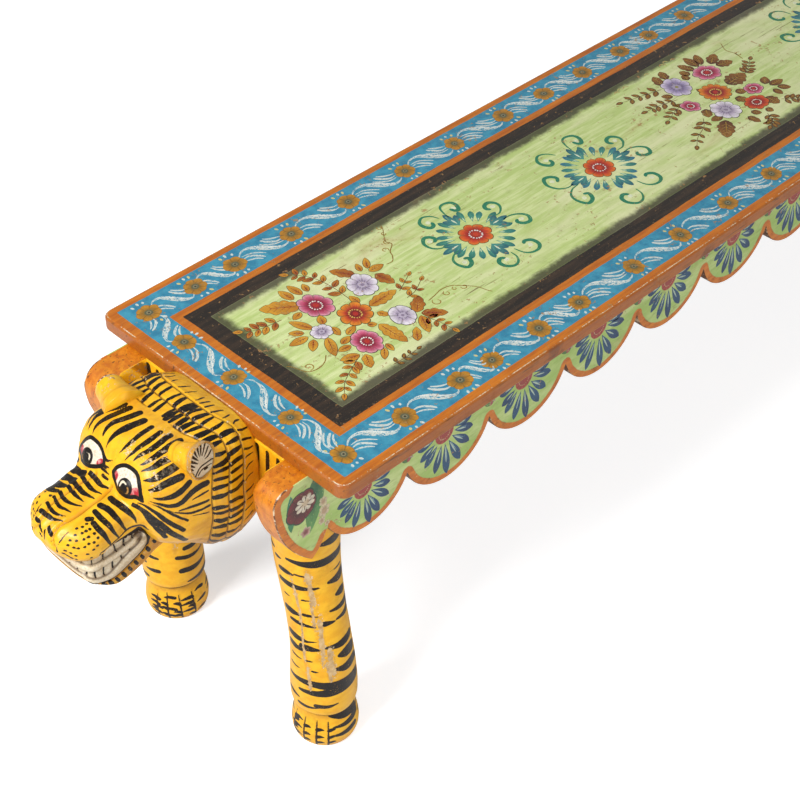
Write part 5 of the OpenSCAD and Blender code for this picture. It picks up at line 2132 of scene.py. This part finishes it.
def lay(art, name, place):
    """Puts a drawing on the bench as a piece of its own."""
    finish_piece(new_object(name, art.mesh(name, place)))


def paint_brackets():
    for end, end_name in ENDS:
        for side, side_name, face in ((-1, "front", BRACKET_LO.y), (1, "back", BACK_HI.y)):

            def place(verts, end=end, side=side, face=face):
                x, z, height = verts.T
                return np.stack([end * (END / MM - x), face / MM + side * height, TOP / MM + z], -1)

            lay(
                bracket_flower(60 + end + 2 * side), f"bracket_{side_name}_{end_name}_flower", place,
            )


def drawing_kit(name, variants):
    """Collection of drawn motifs for Geometry Nodes to pick from."""
    kit = bpy.data.collections.new(name)
    for k, art in enumerate(variants):
        kit.objects.link(bpy.data.objects.new(f"{name}_{k}", art.mesh(f"{name}_{k}")))
    return kit


def repeat_tree():
    """Sets the motifs of a kit on points: each point says which motif, its turn and its stretch."""
    tree = bpy.data.node_groups.new("painted repeats", "GeometryNodeTree")
    for label, way, kind in (
        ("Places", "INPUT", "Geometry"), ("Motifs", "INPUT", "Collection"),
        ("Unevenness", "INPUT", "Float"),
        ("Seed", "INPUT", "Int"), ("Paint", "INPUT", "Material"), ("Painting", "OUTPUT", "Geometry"),
    ):
        tree.interface.new_socket(label, in_out=way, socket_type="NodeSocket" + kind)

    def make(kind, **settings):
        node = tree.nodes.new(kind)
        for key, value in settings.items():
            setattr(node, key, value)
        return node

    entry, leave = make("NodeGroupInput"), make("NodeGroupOutput")
    kit = make("GeometryNodeCollectionInfo")
    kit.inputs["Separate Children"].default_value = True
    kit.inputs["Reset Children"].default_value = True
    kind, turn, stretch = (
        make("GeometryNodeInputNamedAttribute", data_type=t)
        for t in ("INT", "FLOAT_VECTOR", "FLOAT_VECTOR")
    )
    for node, label in ((kind, "kind"), (turn, "turn"), (stretch, "stretch")):
        node.inputs["Name"].default_value = label
    chance = make("FunctionNodeRandomValue", data_type="FLOAT")
    low = make("ShaderNodeMath", operation="SUBTRACT")
    low.inputs[0].default_value = 1.0
    high = make("ShaderNodeMath", operation="ADD")
    high.inputs[0].default_value = 1.0
    size = make("ShaderNodeVectorMath", operation="SCALE")
    stand = make("GeometryNodeInstanceOnPoints")
    stand.inputs["Pick Instance"].default_value = True
    solid, paint_it = make("GeometryNodeRealizeInstances"), make("GeometryNodeSetMaterial")
    for giver, value, taker, socket in (
        (entry, "Places", stand, "Points"), (entry, "Motifs", kit, "Collection"),
        (kit, "Instances", stand, "Instance"), (kind, "Attribute", stand, "Instance Index"),
        (turn, "Attribute", stand, "Rotation"), (entry, "Unevenness", low, 1),
        (entry, "Unevenness", high, 1), (low, 0, chance, 2), (high, 0, chance, 3),
        (entry, "Seed", chance, "Seed"), (stretch, "Attribute", size, 0),
        (chance, 1, size, "Scale"), (size, 0, stand, "Scale"),
        (stand, "Instances", solid, "Geometry"), (solid, "Geometry", paint_it, "Geometry"),
        (entry, "Paint", paint_it, "Material"), (paint_it, "Geometry", leave, "Painting"),
    ):
        tree.links.new(giver.outputs[value], taker.inputs[socket])
    return tree


REPEATS = repeat_tree()


def repeat_motifs(name, kit, places, unevenness=0.04, seed=3):
    mesh = bpy.data.meshes.new(name)
    mesh.from_pydata([tuple(np.array(spot) * MM) for spot, turn, stretch, kind in places], [], [])
    turns = mesh.attributes.new("turn", "FLOAT_VECTOR", "POINT")
    turns.data.foreach_set("vector", np.radians([turn for spot, turn, stretch, kind in places]).ravel())
    sizes = mesh.attributes.new("stretch", "FLOAT_VECTOR", "POINT")
    sizes.data.foreach_set(
        "vector", np.array([stretch for spot, turn, stretch, kind in places], float).ravel(),
    )
    kinds = mesh.attributes.new("kind", "INT", "POINT")
    kinds.data.foreach_set("value", [kind for spot, turn, stretch, kind in places])
    piece = new_object(name, mesh)
    modifier = piece.modifiers.new("painted repeats", "NODES")
    modifier.node_group = REPEATS
    values = {"Motifs": kit, "Unevenness": unevenness, "Seed": seed, "Paint": ORNAMENT}
    for socket in REPEATS.interface.items_tree:
        if socket.name in values:
            modifier[socket.identifier] = values[socket.name]
    piece.update_tag()
    bpy.context.view_layer.update()
    shown = piece.evaluated_get(bpy.context.evaluated_depsgraph_get())
    made = bpy.data.meshes.new_from_object(shown)
    piece.modifiers.clear()
    piece.data = made
    made.name = name
    finish_piece(piece)


# Places of the border flowers: distance in from the left end, on the back, front and end bands
BACK_FLOWERS = [
    38.3, 103.3, 160.8, 244.3, 334.5, 426.8, 512.5, 601.8, 677, 752, 828, 888, 965, 1045, 1123, 1203,
    1282,
]
BACK_FLOWERS += [1360, 1435.7, 1519.2, 1576.7, 1641.7]
FRONT_FLOWERS = [
    35, 116.8, 197, 243.8, 318, 382.5, 475, 559.5, 649, 735, 815, 896, 976, 1056, 1136, 1216, 1297.5,
]
FRONT_FLOWERS += [1362, 1436.2, 1483, 1563.2, 1645]
END_FLOWERS = [89.5, 9.5, -78]
BACK_Y, FRONT_Y, END_X, CORNER_Y = 155, -159, 34, -155


def paint_border():
    flowers = drawing_kit("border_flower", [border_flower(k) for k in range(5)])
    scrolls = drawing_kit("border_scroll", [border_scroll(k) for k in range(4)])
    top = TOP / MM
    spots, runs = [], []
    rng = random.Random(5)
    for row, y in ((BACK_FLOWERS, BACK_Y), (FRONT_FLOWERS, FRONT_Y)):
        for k, x in enumerate(row):
            here = (x - END / MM, y + (4 if x in (35, 1645) else rng.uniform(-1, 1)), top)
            spots.append((here, (0, 0, rng.uniform(-9, 9)), (1, 1, 1), rng.randrange(5)))
            if k + 1 < len(row):
                gap = (row[k + 1] - x) / 82
                runs.append((here, (0, 0, 0), (gap, 1, 1), rng.randrange(4)))
    for end in (-1, 1):
        column = [BACK_Y] + END_FLOWERS + [CORNER_Y]
        x = end * (END / MM - END_X)
        for k, y in enumerate(column):
            if 0 < k < len(column) - 1:
                spots.append(
                    ((x, y, top), (0, 0, 90 + rng.uniform(-6, 6)), (0.93, 0.93, 1), rng.randrange(5))
                )
            if k + 1 < len(column):
                gap = (y - column[k + 1]) / 82
                if end < 0:
                    runs.append(((x, y, top), (0, 0, -90), (gap, 0.92, 1), rng.randrange(4)))
                else:
                    runs.append(((x, column[k + 1], top), (0, 0, 90), (gap, 0.92, 1), rng.randrange(4)))
    repeat_motifs("border_flowers", flowers, spots, 0.05, 3)
    repeat_motifs("border_scrolls", scrolls, runs, 0.0, 4)


def paint_aprons():
    """Half flowers in the scallops and buds over the notches, front and back."""
    flowers = drawing_kit("scallop_flower", [apron_flower(k) for k in range(4)])
    buds = drawing_kit("notch_bud", [notch_bud(k) for k in range(3)])
    rng = random.Random(9)
    cells = scallop_cells()
    for label, face_y, turn in (("front", APRON_LO.y, 0), ("back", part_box("apron_back")[1].y, 180)):
        spots, tops = [], []
        for k, (middle, width, _) in enumerate(cells):
            narrow = 0.9 if width < 120 else 1.0
            lift = UNDER / MM - 67
            x = middle - 7 + rng.uniform(-1.5, 1.5)
            spots.append(((x, face_y / MM, lift), (90, 0, turn), (narrow, narrow, 1), rng.randrange(4)))
            if k:
                tops.append(
                    (
                        (middle - width / 2, face_y / MM, NOTCH + 14), (90, 0, turn), (1, 1, 1),
                        rng.randrange(3),
                    )
                )
        repeat_motifs(f"apron_{label}_flowers", flowers, spots, 0.02, 6)
        repeat_motifs(f"apron_{label}_buds", buds, tops, 0.12, 8)


# Bouquets and rosettes of the panel

AMBER, AMBER_TIP, AMBER_DEEP = srgb("C07A1A"), srgb("D9A02C"), srgb("9A4E14")
UMBER, UMBER_TIP = srgb("5A3014"), srgb("9A6420")
VEIN = srgb("8A2414")

FLOWER_TONES = {
    "pink": (paints("DDA0AE C9607E A83252 7E1A30 8E2030"), srgb("F0E8E0"), srgb("B52C22")),
    "orange": (paints("D98A22 D2701C B23A1A 8A1E18 7A1A16"), srgb("D9B45A"), srgb("B0241C")),
    "white": (paints("E6E0E4 D9D0DA C2B4C6 A597AE B8ACBE"), srgb("8E7E96"), srgb("8A7A92")),
    "lilac": (paints("D9CFDC BDAFCB 9A8BB0 7C6E98 A79AB4"), srgb("E2DCE2"), srgb("8F8650")),
    "red": (paints("D2601C C84418 A82A18 8A1C18 7A1814"), srgb("E6DCC8"), srgb("A8241C")),
}


def garden_flower(art, kind, centre, radius, petals, squash=1.1, turn=0.0):
    """Bouquet flower: dark outline, petals that darken inward, ring of beads and an eye."""
    tones, bead, eye = FLOWER_TONES[kind]
    pale = kind in ("white", "lilac")
    art.flower(
        centre, radius, petals, tones, 6, squash, depth=0.17, turn=turn, outline=(INK, 0.75),
        shares=[1, 0.8, 0.58, 0.42, 0.28], streak=0.14 if pale else 0.18,
    )
    if pale:
        for k in range(petals * 2):
            a = 2 * math.pi * k / petals / 2 + turn
            reach = radius * (0.62 if k % 2 else 0.5)
            start = (
                centre[0] + radius * 0.24 * math.cos(a), centre[1] + radius * 0.24 * squash * math.sin(a),
            )
            end = (
                centre[0] + reach * math.cos(a + 0.12), centre[1] + reach * squash * math.sin(a + 0.12),
            )
            art.ribbon([start, end], [0.4, 0.9, 0.4], srgb("7F6F88"), 7, dry=0.3)
        for k in range(5):
            a = 2 * math.pi * k / 5 + turn
            arc = [
                (
                    centre[0] + radius * 0.34 * math.cos(a + b),
                    centre[1] + radius * 0.34 * squash * math.sin(a + b),
                ) for b in (0, 0.4, 0.8)
            ]
            art.ribbon(arc, [0.5, 1.0, 0.5], srgb("6F5F7C"), 8)
        art.dot(centre, radius * 0.13, eye, 8, 10)
        return
    ring = radius * 0.36
    art.dot(centre, ring * 0.8, tones[-1], 7, 20, flat=squash)
    art.beads(centre, ring, 15, radius * 0.058, bead, 9, squash)
    art.dot(centre, radius * 0.17, eye, 9, 14, flat=squash)


def bouquet_leaf(art, base, tip, width, lobes=0, dark=False, deep=False):
    tones = (UMBER, UMBER_TIP) if dark else (AMBER_DEEP, AMBER) if deep else (AMBER, AMBER_TIP)
    if art.random.random() < 0.3 and not dark:
        tones = tones[::-1]
    vein = srgb("B98A2C") if dark else VEIN
    art.petal(
        base, tip, width, tones[0], 3, tones[1], outline=(INK, 0.55), lobed=lobes, full=0.45, dry=0.12,
    )
    base, tip = np.array(base, float), np.array(tip, float)
    run = tip - base
    art.ribbon([base + run * 0.08, base + run * 0.75], [0.9, 0.8, 0.3], vein, 4, dry=0.2)
    side = np.array([-run[1], run[0]]) / np.linalg.norm(run)
    for k in range(2 if width < 12 else 4):
        start = base + run * (0.22 + 0.16 * k)
        for way in (-1, 1):
            end = start + run * 0.13 + way * side * width * 0.26
            art.ribbon([start, end], [0.5, 0.3], vein, 4, dry=0.4)


def sprig(art, stem, size=12.0, dark=False, pairs=None):
    """Thin stem with paired leaves."""
    path = curve_points(stem, 30)
    art.ribbon(stem, [0.9, 0.7], srgb("6E4416"), 2, dry=0.25)
    count = pairs or max(2, int(len(stem) * 1.6))
    for k in range(count):
        spot = int(4 + k * (24 / count))
        ahead = path[min(spot + 1, 29)] - path[spot - 1]
        angle = math.atan2(ahead[1], ahead[0])
        for way in (-1, 1):
            lean = angle + way * math.radians(art.random.uniform(42, 66))
            reach = size * art.random.uniform(0.8, 1.1) * (1 - 0.25 * k / count)
            base = path[spot] + 1.2 * np.array([math.cos(lean), math.sin(lean)])
            tip = base + reach * np.array([math.cos(lean), math.sin(lean)])
            bouquet_leaf(art, base, tip, reach * 0.52, dark=dark, deep=art.random.random() < 0.4)
    ahead = path[-1] - path[-3]
    ahead /= np.linalg.norm(ahead)
    bouquet_leaf(art, path[-1], path[-1] + ahead * size * 0.8, size * 0.42, dark=dark)


def tendril(art, path, curls=()):
    art.ribbon(path, [1.1, 1.3, 1.0, 0.9], srgb("8A6416"), 2, dry=0.3)
    for (x, y), size, start in curls:
        loop = [
            (
                x + size * (1 - 0.55 * t) * math.cos(start + 5.2 * t),
                y + size * (1 - 0.55 * t) * math.sin(start + 5.2 * t),
            )
            for t in np.linspace(0, 1, 8)
        ]
        art.ribbon(loop, [0.9, 1.3, 1.0], srgb("9A7420"), 2, dry=0.25)


FIRST_LEAVES = [
    # base, tip, width, lobes
    ((-29.5, 48.8), (-66, 75), 24, 4), ((24.3, -3.8), (64.3, -3.8), 17, 4),
    ((9.3, -33.8), (10.5, -76), 17, 4), ((-45.8, -11.3), (-60, -40), 12, 0),
    ((-46.5, 10), (-57, 37), 11, 0), ((68, 32.5), (71.8, 6.3), 15, 3),
    ((53, -47.5), (74.3, -28.8), 16, 3), ((55.5, -52.5), (76.8, -71.3), 15, 3),
    ((51.8, -55), (38, -81.3), 12, 0), ((50.5, 47.5), (35.5, 72.5), 15, 3),
    ((-35.8, -60), (-46.5, -79.5), 12, 2), ((-40.8, -56.3), (-61.5, -48.8), 12, 0),
    ((66.8, 41.3), (86.8, 39.5), 11, 0), ((69.3, 46.3), (80.5, 62.5), 8, 0),
    ((60.5, 47.5), (65.5, 61.3), 7, 0), ((-27, 62.5), (-29.5, 85), 11, 0),
    ((-14.5, 62.5), (-16.5, 85.5), 10, 0), ((-37, 40), (-51, 36), 9, 0),
    ((-58.3, 11.3), (-70.3, 22.5), 9, 0), ((-59.5, 3.8), (-83.3, 6.3), 11, 0),
    ((-58.3, -3.8), (-72, -17.5), 10, 0), ((-27, -22.5), (-10.8, -17.5), 9, 0),
    ((-42, -30), (-27, -26.3), 9, 0), ((-37, -38.8), (-52.8, -36.3), 9, 0),
    ((19.3, -82.5), (34.3, -65), 10, 2), ((-14.5, -66.3), (-27, -80), 8, 0),
    ((-8.3, -62.5), (-10, -76.3), 7, 0), ((20, 8), (20, 24), 9, 0), ((-6, 62), (-2, 76), 8, 0),
    ((-33, 8), (-26, 22), 10, 0), ((-30, -2), (-33, -18), 9, 0), ((22, -18), (28, -30), 9, 2),
    ((-14, 20), (-4, 22), 7, 0), ((0, -26), (8, -32), 8, 0),
]
FIRST_FLOWERS = [
    # kind, centre, radius, petals, squash, turn
    ("pink", (-17, 37.5), 18.5, 8, 1.16, 0.2), ("pink", (-20, -45.7), 17, 8, 1.16, 0.5),
    ("orange", (3.5, -3.2), 18.5, 8, 1.14, 0.0), ("white", (44.3, 28.7), 18, 8, 1.1, 0.3),
    ("white", (-43.2, 0), 12, 7, 1.02, 0.1), ("white", (38, -40.7), 15, 5, 1.15, 0.6),
]


def first_bouquet(art):
    """Bouquet nearest the bench's end: amber leaves, pink, white and orange flowers."""
    for base, tip, width, lobes in FIRST_LEAVES:
        bouquet_leaf(art, base, tip, width, lobes, deep=lobes == 3)
    sprig(art, [(-59.5, 45), (-77, 47.5), (-92, 51.3), (-103, 58.8)], 14, pairs=4)
    sprig(art, [(16.8, 17.5), (18, 45), (15.5, 70), (8, 87.5), (-2, 98.8)], 14, pairs=6)
    sprig(art, [(-42, -57.5), (-62, -66.3), (-82, -77.5), (-94.5, -90)], 13, pairs=5)
    sprig(art, [(65.5, -8), (78, -2), (91.8, 5)], 10, pairs=2)
    sprig(art, [(63, -22.5), (78, -20), (95.5, -11)], 11, pairs=2)
    sprig(art, [(53, -57.5), (58, -75), (60.5, -94)], 12, pairs=3)
    sprig(art, [(-27, -92), (-9, -93), (9, -92)], 8, dark=True, pairs=3)
    tendril(
        art, [(-65.8, -31.3), (-74.5, -38.8), (-87, -42), (-98.3, -37.5), (-104, -22), (-108, -16)],
        [((-92, -33), 6, -2.0)],
    )
    tendril(
        art,
        [
            (89.3, 37), (98, 36.3), (105.5, 43.8), (109.3, 51.3), (120.5, 60), (119, 69), (133, 87.5),
            (136.8, 95),
        ],
        [((107, 57), 4.5, -1.0), ((119, 66), 5, 0.5), ((128, 80), 3.5, 1.0), ((132, 92), 3.5, 2.0)],
    )
    tendril(
        art,
        [
            (75.5, -42.5), (88, -40.5), (100.5, -38), (113, -41.3), (123, -51.3), (131.8, -62.5),
            (135.5, -75), (138, -80),
        ],
        [((100, -47), 4.5, 1.6), ((112, -47), 3.0, 1.2), ((122, -52), 4.2, 2.6), ((82, -50), 6, 1.9)],
    )
    for flower in FIRST_FLOWERS:
        garden_flower(art, *flower)


SECOND_LEAVES = [
    ((30.5, 3.8), (68, 5), 26, 4), ((-40.8, -47.5), (-70.8, -72.5), 22, 4),
    ((28, 55), (20.5, 77.5), 13, 2), ((39, 57.5), (41.8, 84), 14, 0), ((45.5, 57.5), (59.3, 79), 12, 0),
    ((55.5, 50), (79.3, 62.5), 16, 3), ((58, 42.5), (81.8, 35), 16, 3),
    ((65.5, -30), (79.3, -18.8), 12, 0), ((68, -36), (90.5, -38.8), 12, 0),
    ((63, -45), (61.8, -60), 10, 0), ((71.8, -45), (83, -57.5), 11, 0), ((40.5, -50), (40.5, -70), 18, 3),
    ((-44, -2), (-58, 20), 12, 0), ((-38, -14), (-50, -28), 14, 2), ((-36, -38), (-54, -36), 11, 0),
    ((-14, -62), (-12, -80), 11, 2), ((-2, -58), (6, -68), 10, 0), ((18, -66), (20, -76), 10, 0),
    ((14, 52), (10, 66), 12, 2), ((2, 46), (8, 58), 11, 2), ((-32, 60), (-24, 82), 14, 2),
    ((-16, 66), (-8, 84), 13, 2), ((22, -16), (36, -22), 12, 0), ((10, -24), (18, -38), 14, 2),
    ((-6, 12), (-8, 24), 8, 0), ((-44, 34), (-54, 44), 10, 0),
]
SECOND_FLOWERS = [
    ("lilac", (-22, 45), 20, 8, 1.05, 0.1), ("pink", (34.3, 40), 19, 8, 0.92, 0.4),
    ("orange", (3.5, 2.5), 20.5, 12, 0.98, 0.0), ("pink", (-45.8, 3.8), 12.5, 5, 1.0, 0.2),
    ("white", (-20.8, -32.5), 20, 9, 0.98, 0.3), ("pink", (45.5, -26.3), 13, 6, 0.95, 0.7),
    ("red", (21.8, -48.8), 17, 8, 0.9, 0.5),
]


def second_bouquet(art):
    """Bouquet in the middle of the bench: dark brown leaves, lilac, orange and pink flowers."""
    for base, tip, width, lobes in SECOND_LEAVES:
        bouquet_leaf(art, base, tip, width, lobes, dark=True)
    for stem in (
        [(-39.5, 55), (-69.5, 62.5), (-100, 70)], [(-44.5, 25), (-72, 32.5), (-94, 35)],
        [(-46, 14), (-70, 10), (-92, 2)],
        [(-57, -25), (-72, -37.5), (-97, -47.5), (-112, -58)], [(65.5, 2.5), (83, 10), (100.5, 20)],
        [(10, -74), (2, -88), (-10, -94)], [(50, -66), (64, -78), (78, -84)],
    ):
        sprig(art, stem, 12, dark=True, pairs=4)
    tendril(art, [(96, 28), (100, 44), (98, 58), (108, 74)], [((103, 40), 5, 0.5)])
    for x, y in ((-92, 90), (-84, 92), (-74, 91), (2, 93), (12, 95), (-30, 92), (24, 92)):
        art.ribbon([(x, y), (x + 5, y + 2), (x + 9, y - 2)], [0.7, 2.0, 0.8], srgb("B0603C"), 1, dry=0.7)
    for flower in SECOND_FLOWERS:
        garden_flower(art, *flower)


def rosette(art, curls, blue):
    """Orange flower in a ring of teal petals and green spirals."""
    teal = srgb("1F6E62") if not blue else srgb("23688A")
    for k in range(20):
        lean = math.radians(18 * k) + art.random.uniform(-0.04, 0.04)
        quarter = k % 5 == 0
        reach = (54 if quarter else 50 - 3 * (k % 5 in (2, 3))) + art.random.uniform(-1.5, 1.5)
        ahead = np.array([math.cos(lean), math.sin(lean)])
        base = ahead * 24.5
        tone = srgb("1F6F6E") if art.random.random() < 0.5 else teal
        if quarter:
            side = np.array([-ahead[1], ahead[0]])
            for way, share in ((-1, 0.82), (1, 0.82), (0, 1.0)):
                tip = ahead * reach * share + way * side * 10
                art.petal(
                    base, tip, 8.2, srgb("4E9A8C"), 2 + (way == 0), srgb("1E5A6E"), full=0.66, dry=0.1,
                )
            art.ribbon([base * 1.2, ahead * reach * 0.74], [0.5, 2.2, 0.8], srgb("DDE6C8"), 5, dry=0.25)
        else:
            art.petal(base, ahead * reach, 7.8, srgb("4F9C88"), 1, tone, full=0.68, dry=0.1)
            art.ribbon([base * 1.15, ahead * reach * 0.72], [0.5, 1.8, 0.6], srgb("C9DCB4"), 2, dry=0.3)
    for path, home, (x, y) in zip(CURL_PATHS, CURLS_A, curls):
        turn = complex(x, y) / complex(*home)
        route = [complex(*spot) * turn for spot in path]
        art.ribbon(
            [(q.real, q.imag) for q in route], [1.2, 2.0, 2.8, 3.6, 4.6, 5.2, 5.2, 4.0], srgb("2F7F56"),
            3, dry=0.12,
            end_tone=srgb("1E7A5C"), count=60,
        )
        art.dot((x, y), 3.2, srgb("DDE3C0"), 2, 12, dry=0.25)
    art.flower(
        (0, 0), 19, 8, paints("DB7420 CE4C1A AE2A1A 8A1C1A A8301C"), 4, 1.08, depth=0.2,
        turn=0.2, outline=(srgb("4A1A10"), 0.8), shares=[1, 0.78, 0.56, 0.4, 0.26],
    )
    art.beads((0, 0), 7.4, 14, 1.1, srgb("E8E4DC"), 6, 1.05)
    art.dot((0, 0), 3.6, srgb("C23A1C"), 6, 12)


# Spirals of the outer rosette, from the stem inward, and the middles of both rosettes' spirals
CURL_PATHS = [
    [(-7.6, 51), (-12, 61), (-21, 66), (-30, 61), (-32, 53), (-28, 45), (-22, 46), (-19.5, 52)],
    [(2.5, 45), (3.4, 54), (7.6, 64.6), (15, 68), (24, 64.6), (26, 57), (22, 48.5), (17, 49), (14.5, 56)],
    [(41.7, 9.4), (51, 10), (59.5, 17), (61.6, 25.5), (56, 33), (48.5, 32), (45, 26.4), (48.5, 21)],
    [(44, -2), (56, -2.5), (66, -8.5), (70, -17), (64.6, -25.5), (56, -24), (52, -17), (56, -13)],
    [
        (11, -49), (13.6, -61), (20.4, -68), (30.6, -69), (38, -63), (38, -52.7), (30.6, -47.6),
        (25.5, -51),
    ],
    [
        (3.4, -51), (2.5, -61), (-3.4, -69), (-12, -71), (-19.5, -64.6), (-20.4, -56), (-14.5, -51),
        (-8.5, -54.4),
    ],
    [
        (-35.7, -7.6), (-46, -10), (-54.4, -17), (-56, -27), (-51, -36.6), (-42.5, -34), (-39, -25.5),
        (-44, -22.4),
    ],
    [
        (-39, 7.6), (-48.5, 9.4), (-55.3, 17), (-55.8, 28), (-48.5, 35.7), (-41.7, 33), (-39.5, 26.4),
        (-45, 22),
    ],
]
CURLS_A = [(-23, 54), (19, 54), (54, 24), (60, -16), (30, -57), (-10, -57), (-47.5, -28), (-47.5, 27)]
CURLS_B = [
    (-34.5, 55), (24, 57.5), (59, 25), (64, -12.5), (29, -57.5), (-19.5, -64), (-61, -29), (-63, 20),
]


def paint_panel():
    """Bouquets and rosettes, the right half of the board as a mirror of the left."""
    draw = {
        "bouquet_first": (first_bouquet, (192, 0)), "bouquet_middle": (second_bouquet, (832, 0)),
        "rosette_outer": (lambda art: rosette(art, CURLS_A, False), (393.7, 5.8)),
        "rosette_inner": (lambda art: rosette(art, CURLS_B, True), (598.3, -5)),
    }
    for k, (name, (motif, (x, y))) in enumerate(draw.items()):
        for side in (-1, 1):
            if name == "bouquet_middle" and side > 0:
                continue
            art = Inlay(PANEL_GREEN, 40 + k)
            motif(art)

            def place(verts, side=side, x=x, y=y):
                return verts * [-side, -side, 1] + [side * (END / MM - x), -side * y, TOP / MM]

            lay(art, f"{name}_{'left' if side < 0 else 'right'}", place)


# Floor, light and camera: strengths as the camera sees them, light powers in watts, places in metres
FLOOR_TONES = ((0.78, 0.78, 0.79), (0.82, 0.82, 0.82))
FLOOR_REACH = 40
GLOW_TINT = (0.97, 0.985, 1, 1)
# A dimmer glow for the camera round the middle below is a painted shadow on the floor by the back left leg
PAINTED_SHADOW_GLOW, FLOOR_GLOW = 0.38, 0.66
PAINTED_SHADOW_MIDDLE, PAINTED_SHADOW_FROM, PAINTED_SHADOW_TO = (-END + 0.15, 0.16, 0), 0.03, 0.20
WHITE_LIGHT = (1, 1, 1, 1)
WORLD_SOFT, WORLD_SEEN = 0.38, 1.0
# Name, place, what it points at, size and power of each lamp
LAMPS = (
    ("key", (-2.9, 0.05, 2.5), (-0.7, 0, 0.2), 1.1, 92),
    ("fill", (-0.5, -2.8, 1.8), (-0.3, 0, 0.3), 2.4, 24),
)
CAMERA_PLACE = (-1.6235, -1.0622, 1.5793)
CAMERA_TURN = (math.radians(48.545), 0, math.radians(-44.662))
CAMERA_LENS, SENSOR, CAMERA_REACH = 76.79, 36, 100


def make_floor():
    """Pale floor: it lights the bench like plain paper, and looks white where nothing shades it; a dimmer
    glow round a spot by the back left leg is a painted shadow.
    """
    material, n = begin_material("floor_pale")
    paper = n.new("BsdfDiffuse", {"Color": n.blend(n.noise(n.place(), 3.0, 2.0), *FLOOR_TONES)})
    # Painted shadow: the glow is weaker near the back left leg
    from_painted_shadow = n.new("VectorMath", {0: n.place(), 1: PAINTED_SHADOW_MIDDLE}, out=1, operation="DISTANCE")
    strength = n.rise(from_painted_shadow, PAINTED_SHADOW_FROM, PAINTED_SHADOW_TO, PAINTED_SHADOW_GLOW, FLOOR_GLOW)
    glow = n.new("Emission", {"Color": GLOW_TINT, "Strength": strength})
    dark = n.new("Emission", {"Strength": 0.0})
    lit = n.new("MixShader", {0: n.new("LightPath"), 1: dark, 2: glow})
    n.finish("Material", n.new("AddShader", {0: paper, 1: lit}))
    mesh = bpy.data.meshes.new("floor")
    corners = [(x * FLOOR_REACH, y * FLOOR_REACH, 0) for x, y in ((-1, -1), (1, -1), (1, 1), (-1, 1))]
    mesh.from_pydata(corners, [], [(0, 1, 2, 3)])
    mesh.materials.append(material)
    new_object("floor", mesh)


def make_world():
    """Soft light from all round, which the camera alone sees as plain white."""
    world = bpy.data.worlds.new("studio")
    bpy.context.scene.world = world
    world.use_nodes = True
    world.node_tree.nodes.clear()
    n = Nodes(world.node_tree)
    soft, seen = (
        n.new("Background", {"Color": WHITE_LIGHT, "Strength": k}) for k in (WORLD_SOFT, WORLD_SEEN)
    )
    n.finish("World", n.new("MixShader", {0: n.new("LightPath"), 1: soft, 2: seen}))


def area_light(name, place, target, size, power):
    lamp = bpy.data.lights.new(name, "AREA")
    lamp.shape = "SQUARE"
    lamp.size = size
    lamp.energy = power
    light = new_object(name, lamp)
    light.location = place
    light.rotation_euler = (Vector(target) - Vector(place)).to_track_quat("-Z", "Y").to_euler()


def make_camera():
    data = bpy.data.cameras.new("photo_view")
    data.lens = CAMERA_LENS
    data.sensor_width = SENSOR
    data.clip_end = CAMERA_REACH
    camera = new_object("photo_view", data)
    camera.location = CAMERA_PLACE
    camera.rotation_euler = CAMERA_TURN
    bpy.context.scene.camera = camera


build_bench()
paint_border()
paint_aprons()
paint_brackets()
paint_panel()
make_floor()
make_world()
for lamp_values in LAMPS:
    area_light(*lamp_values)
make_camera()
bpy.context.scene.view_settings.view_transform = "Standard"
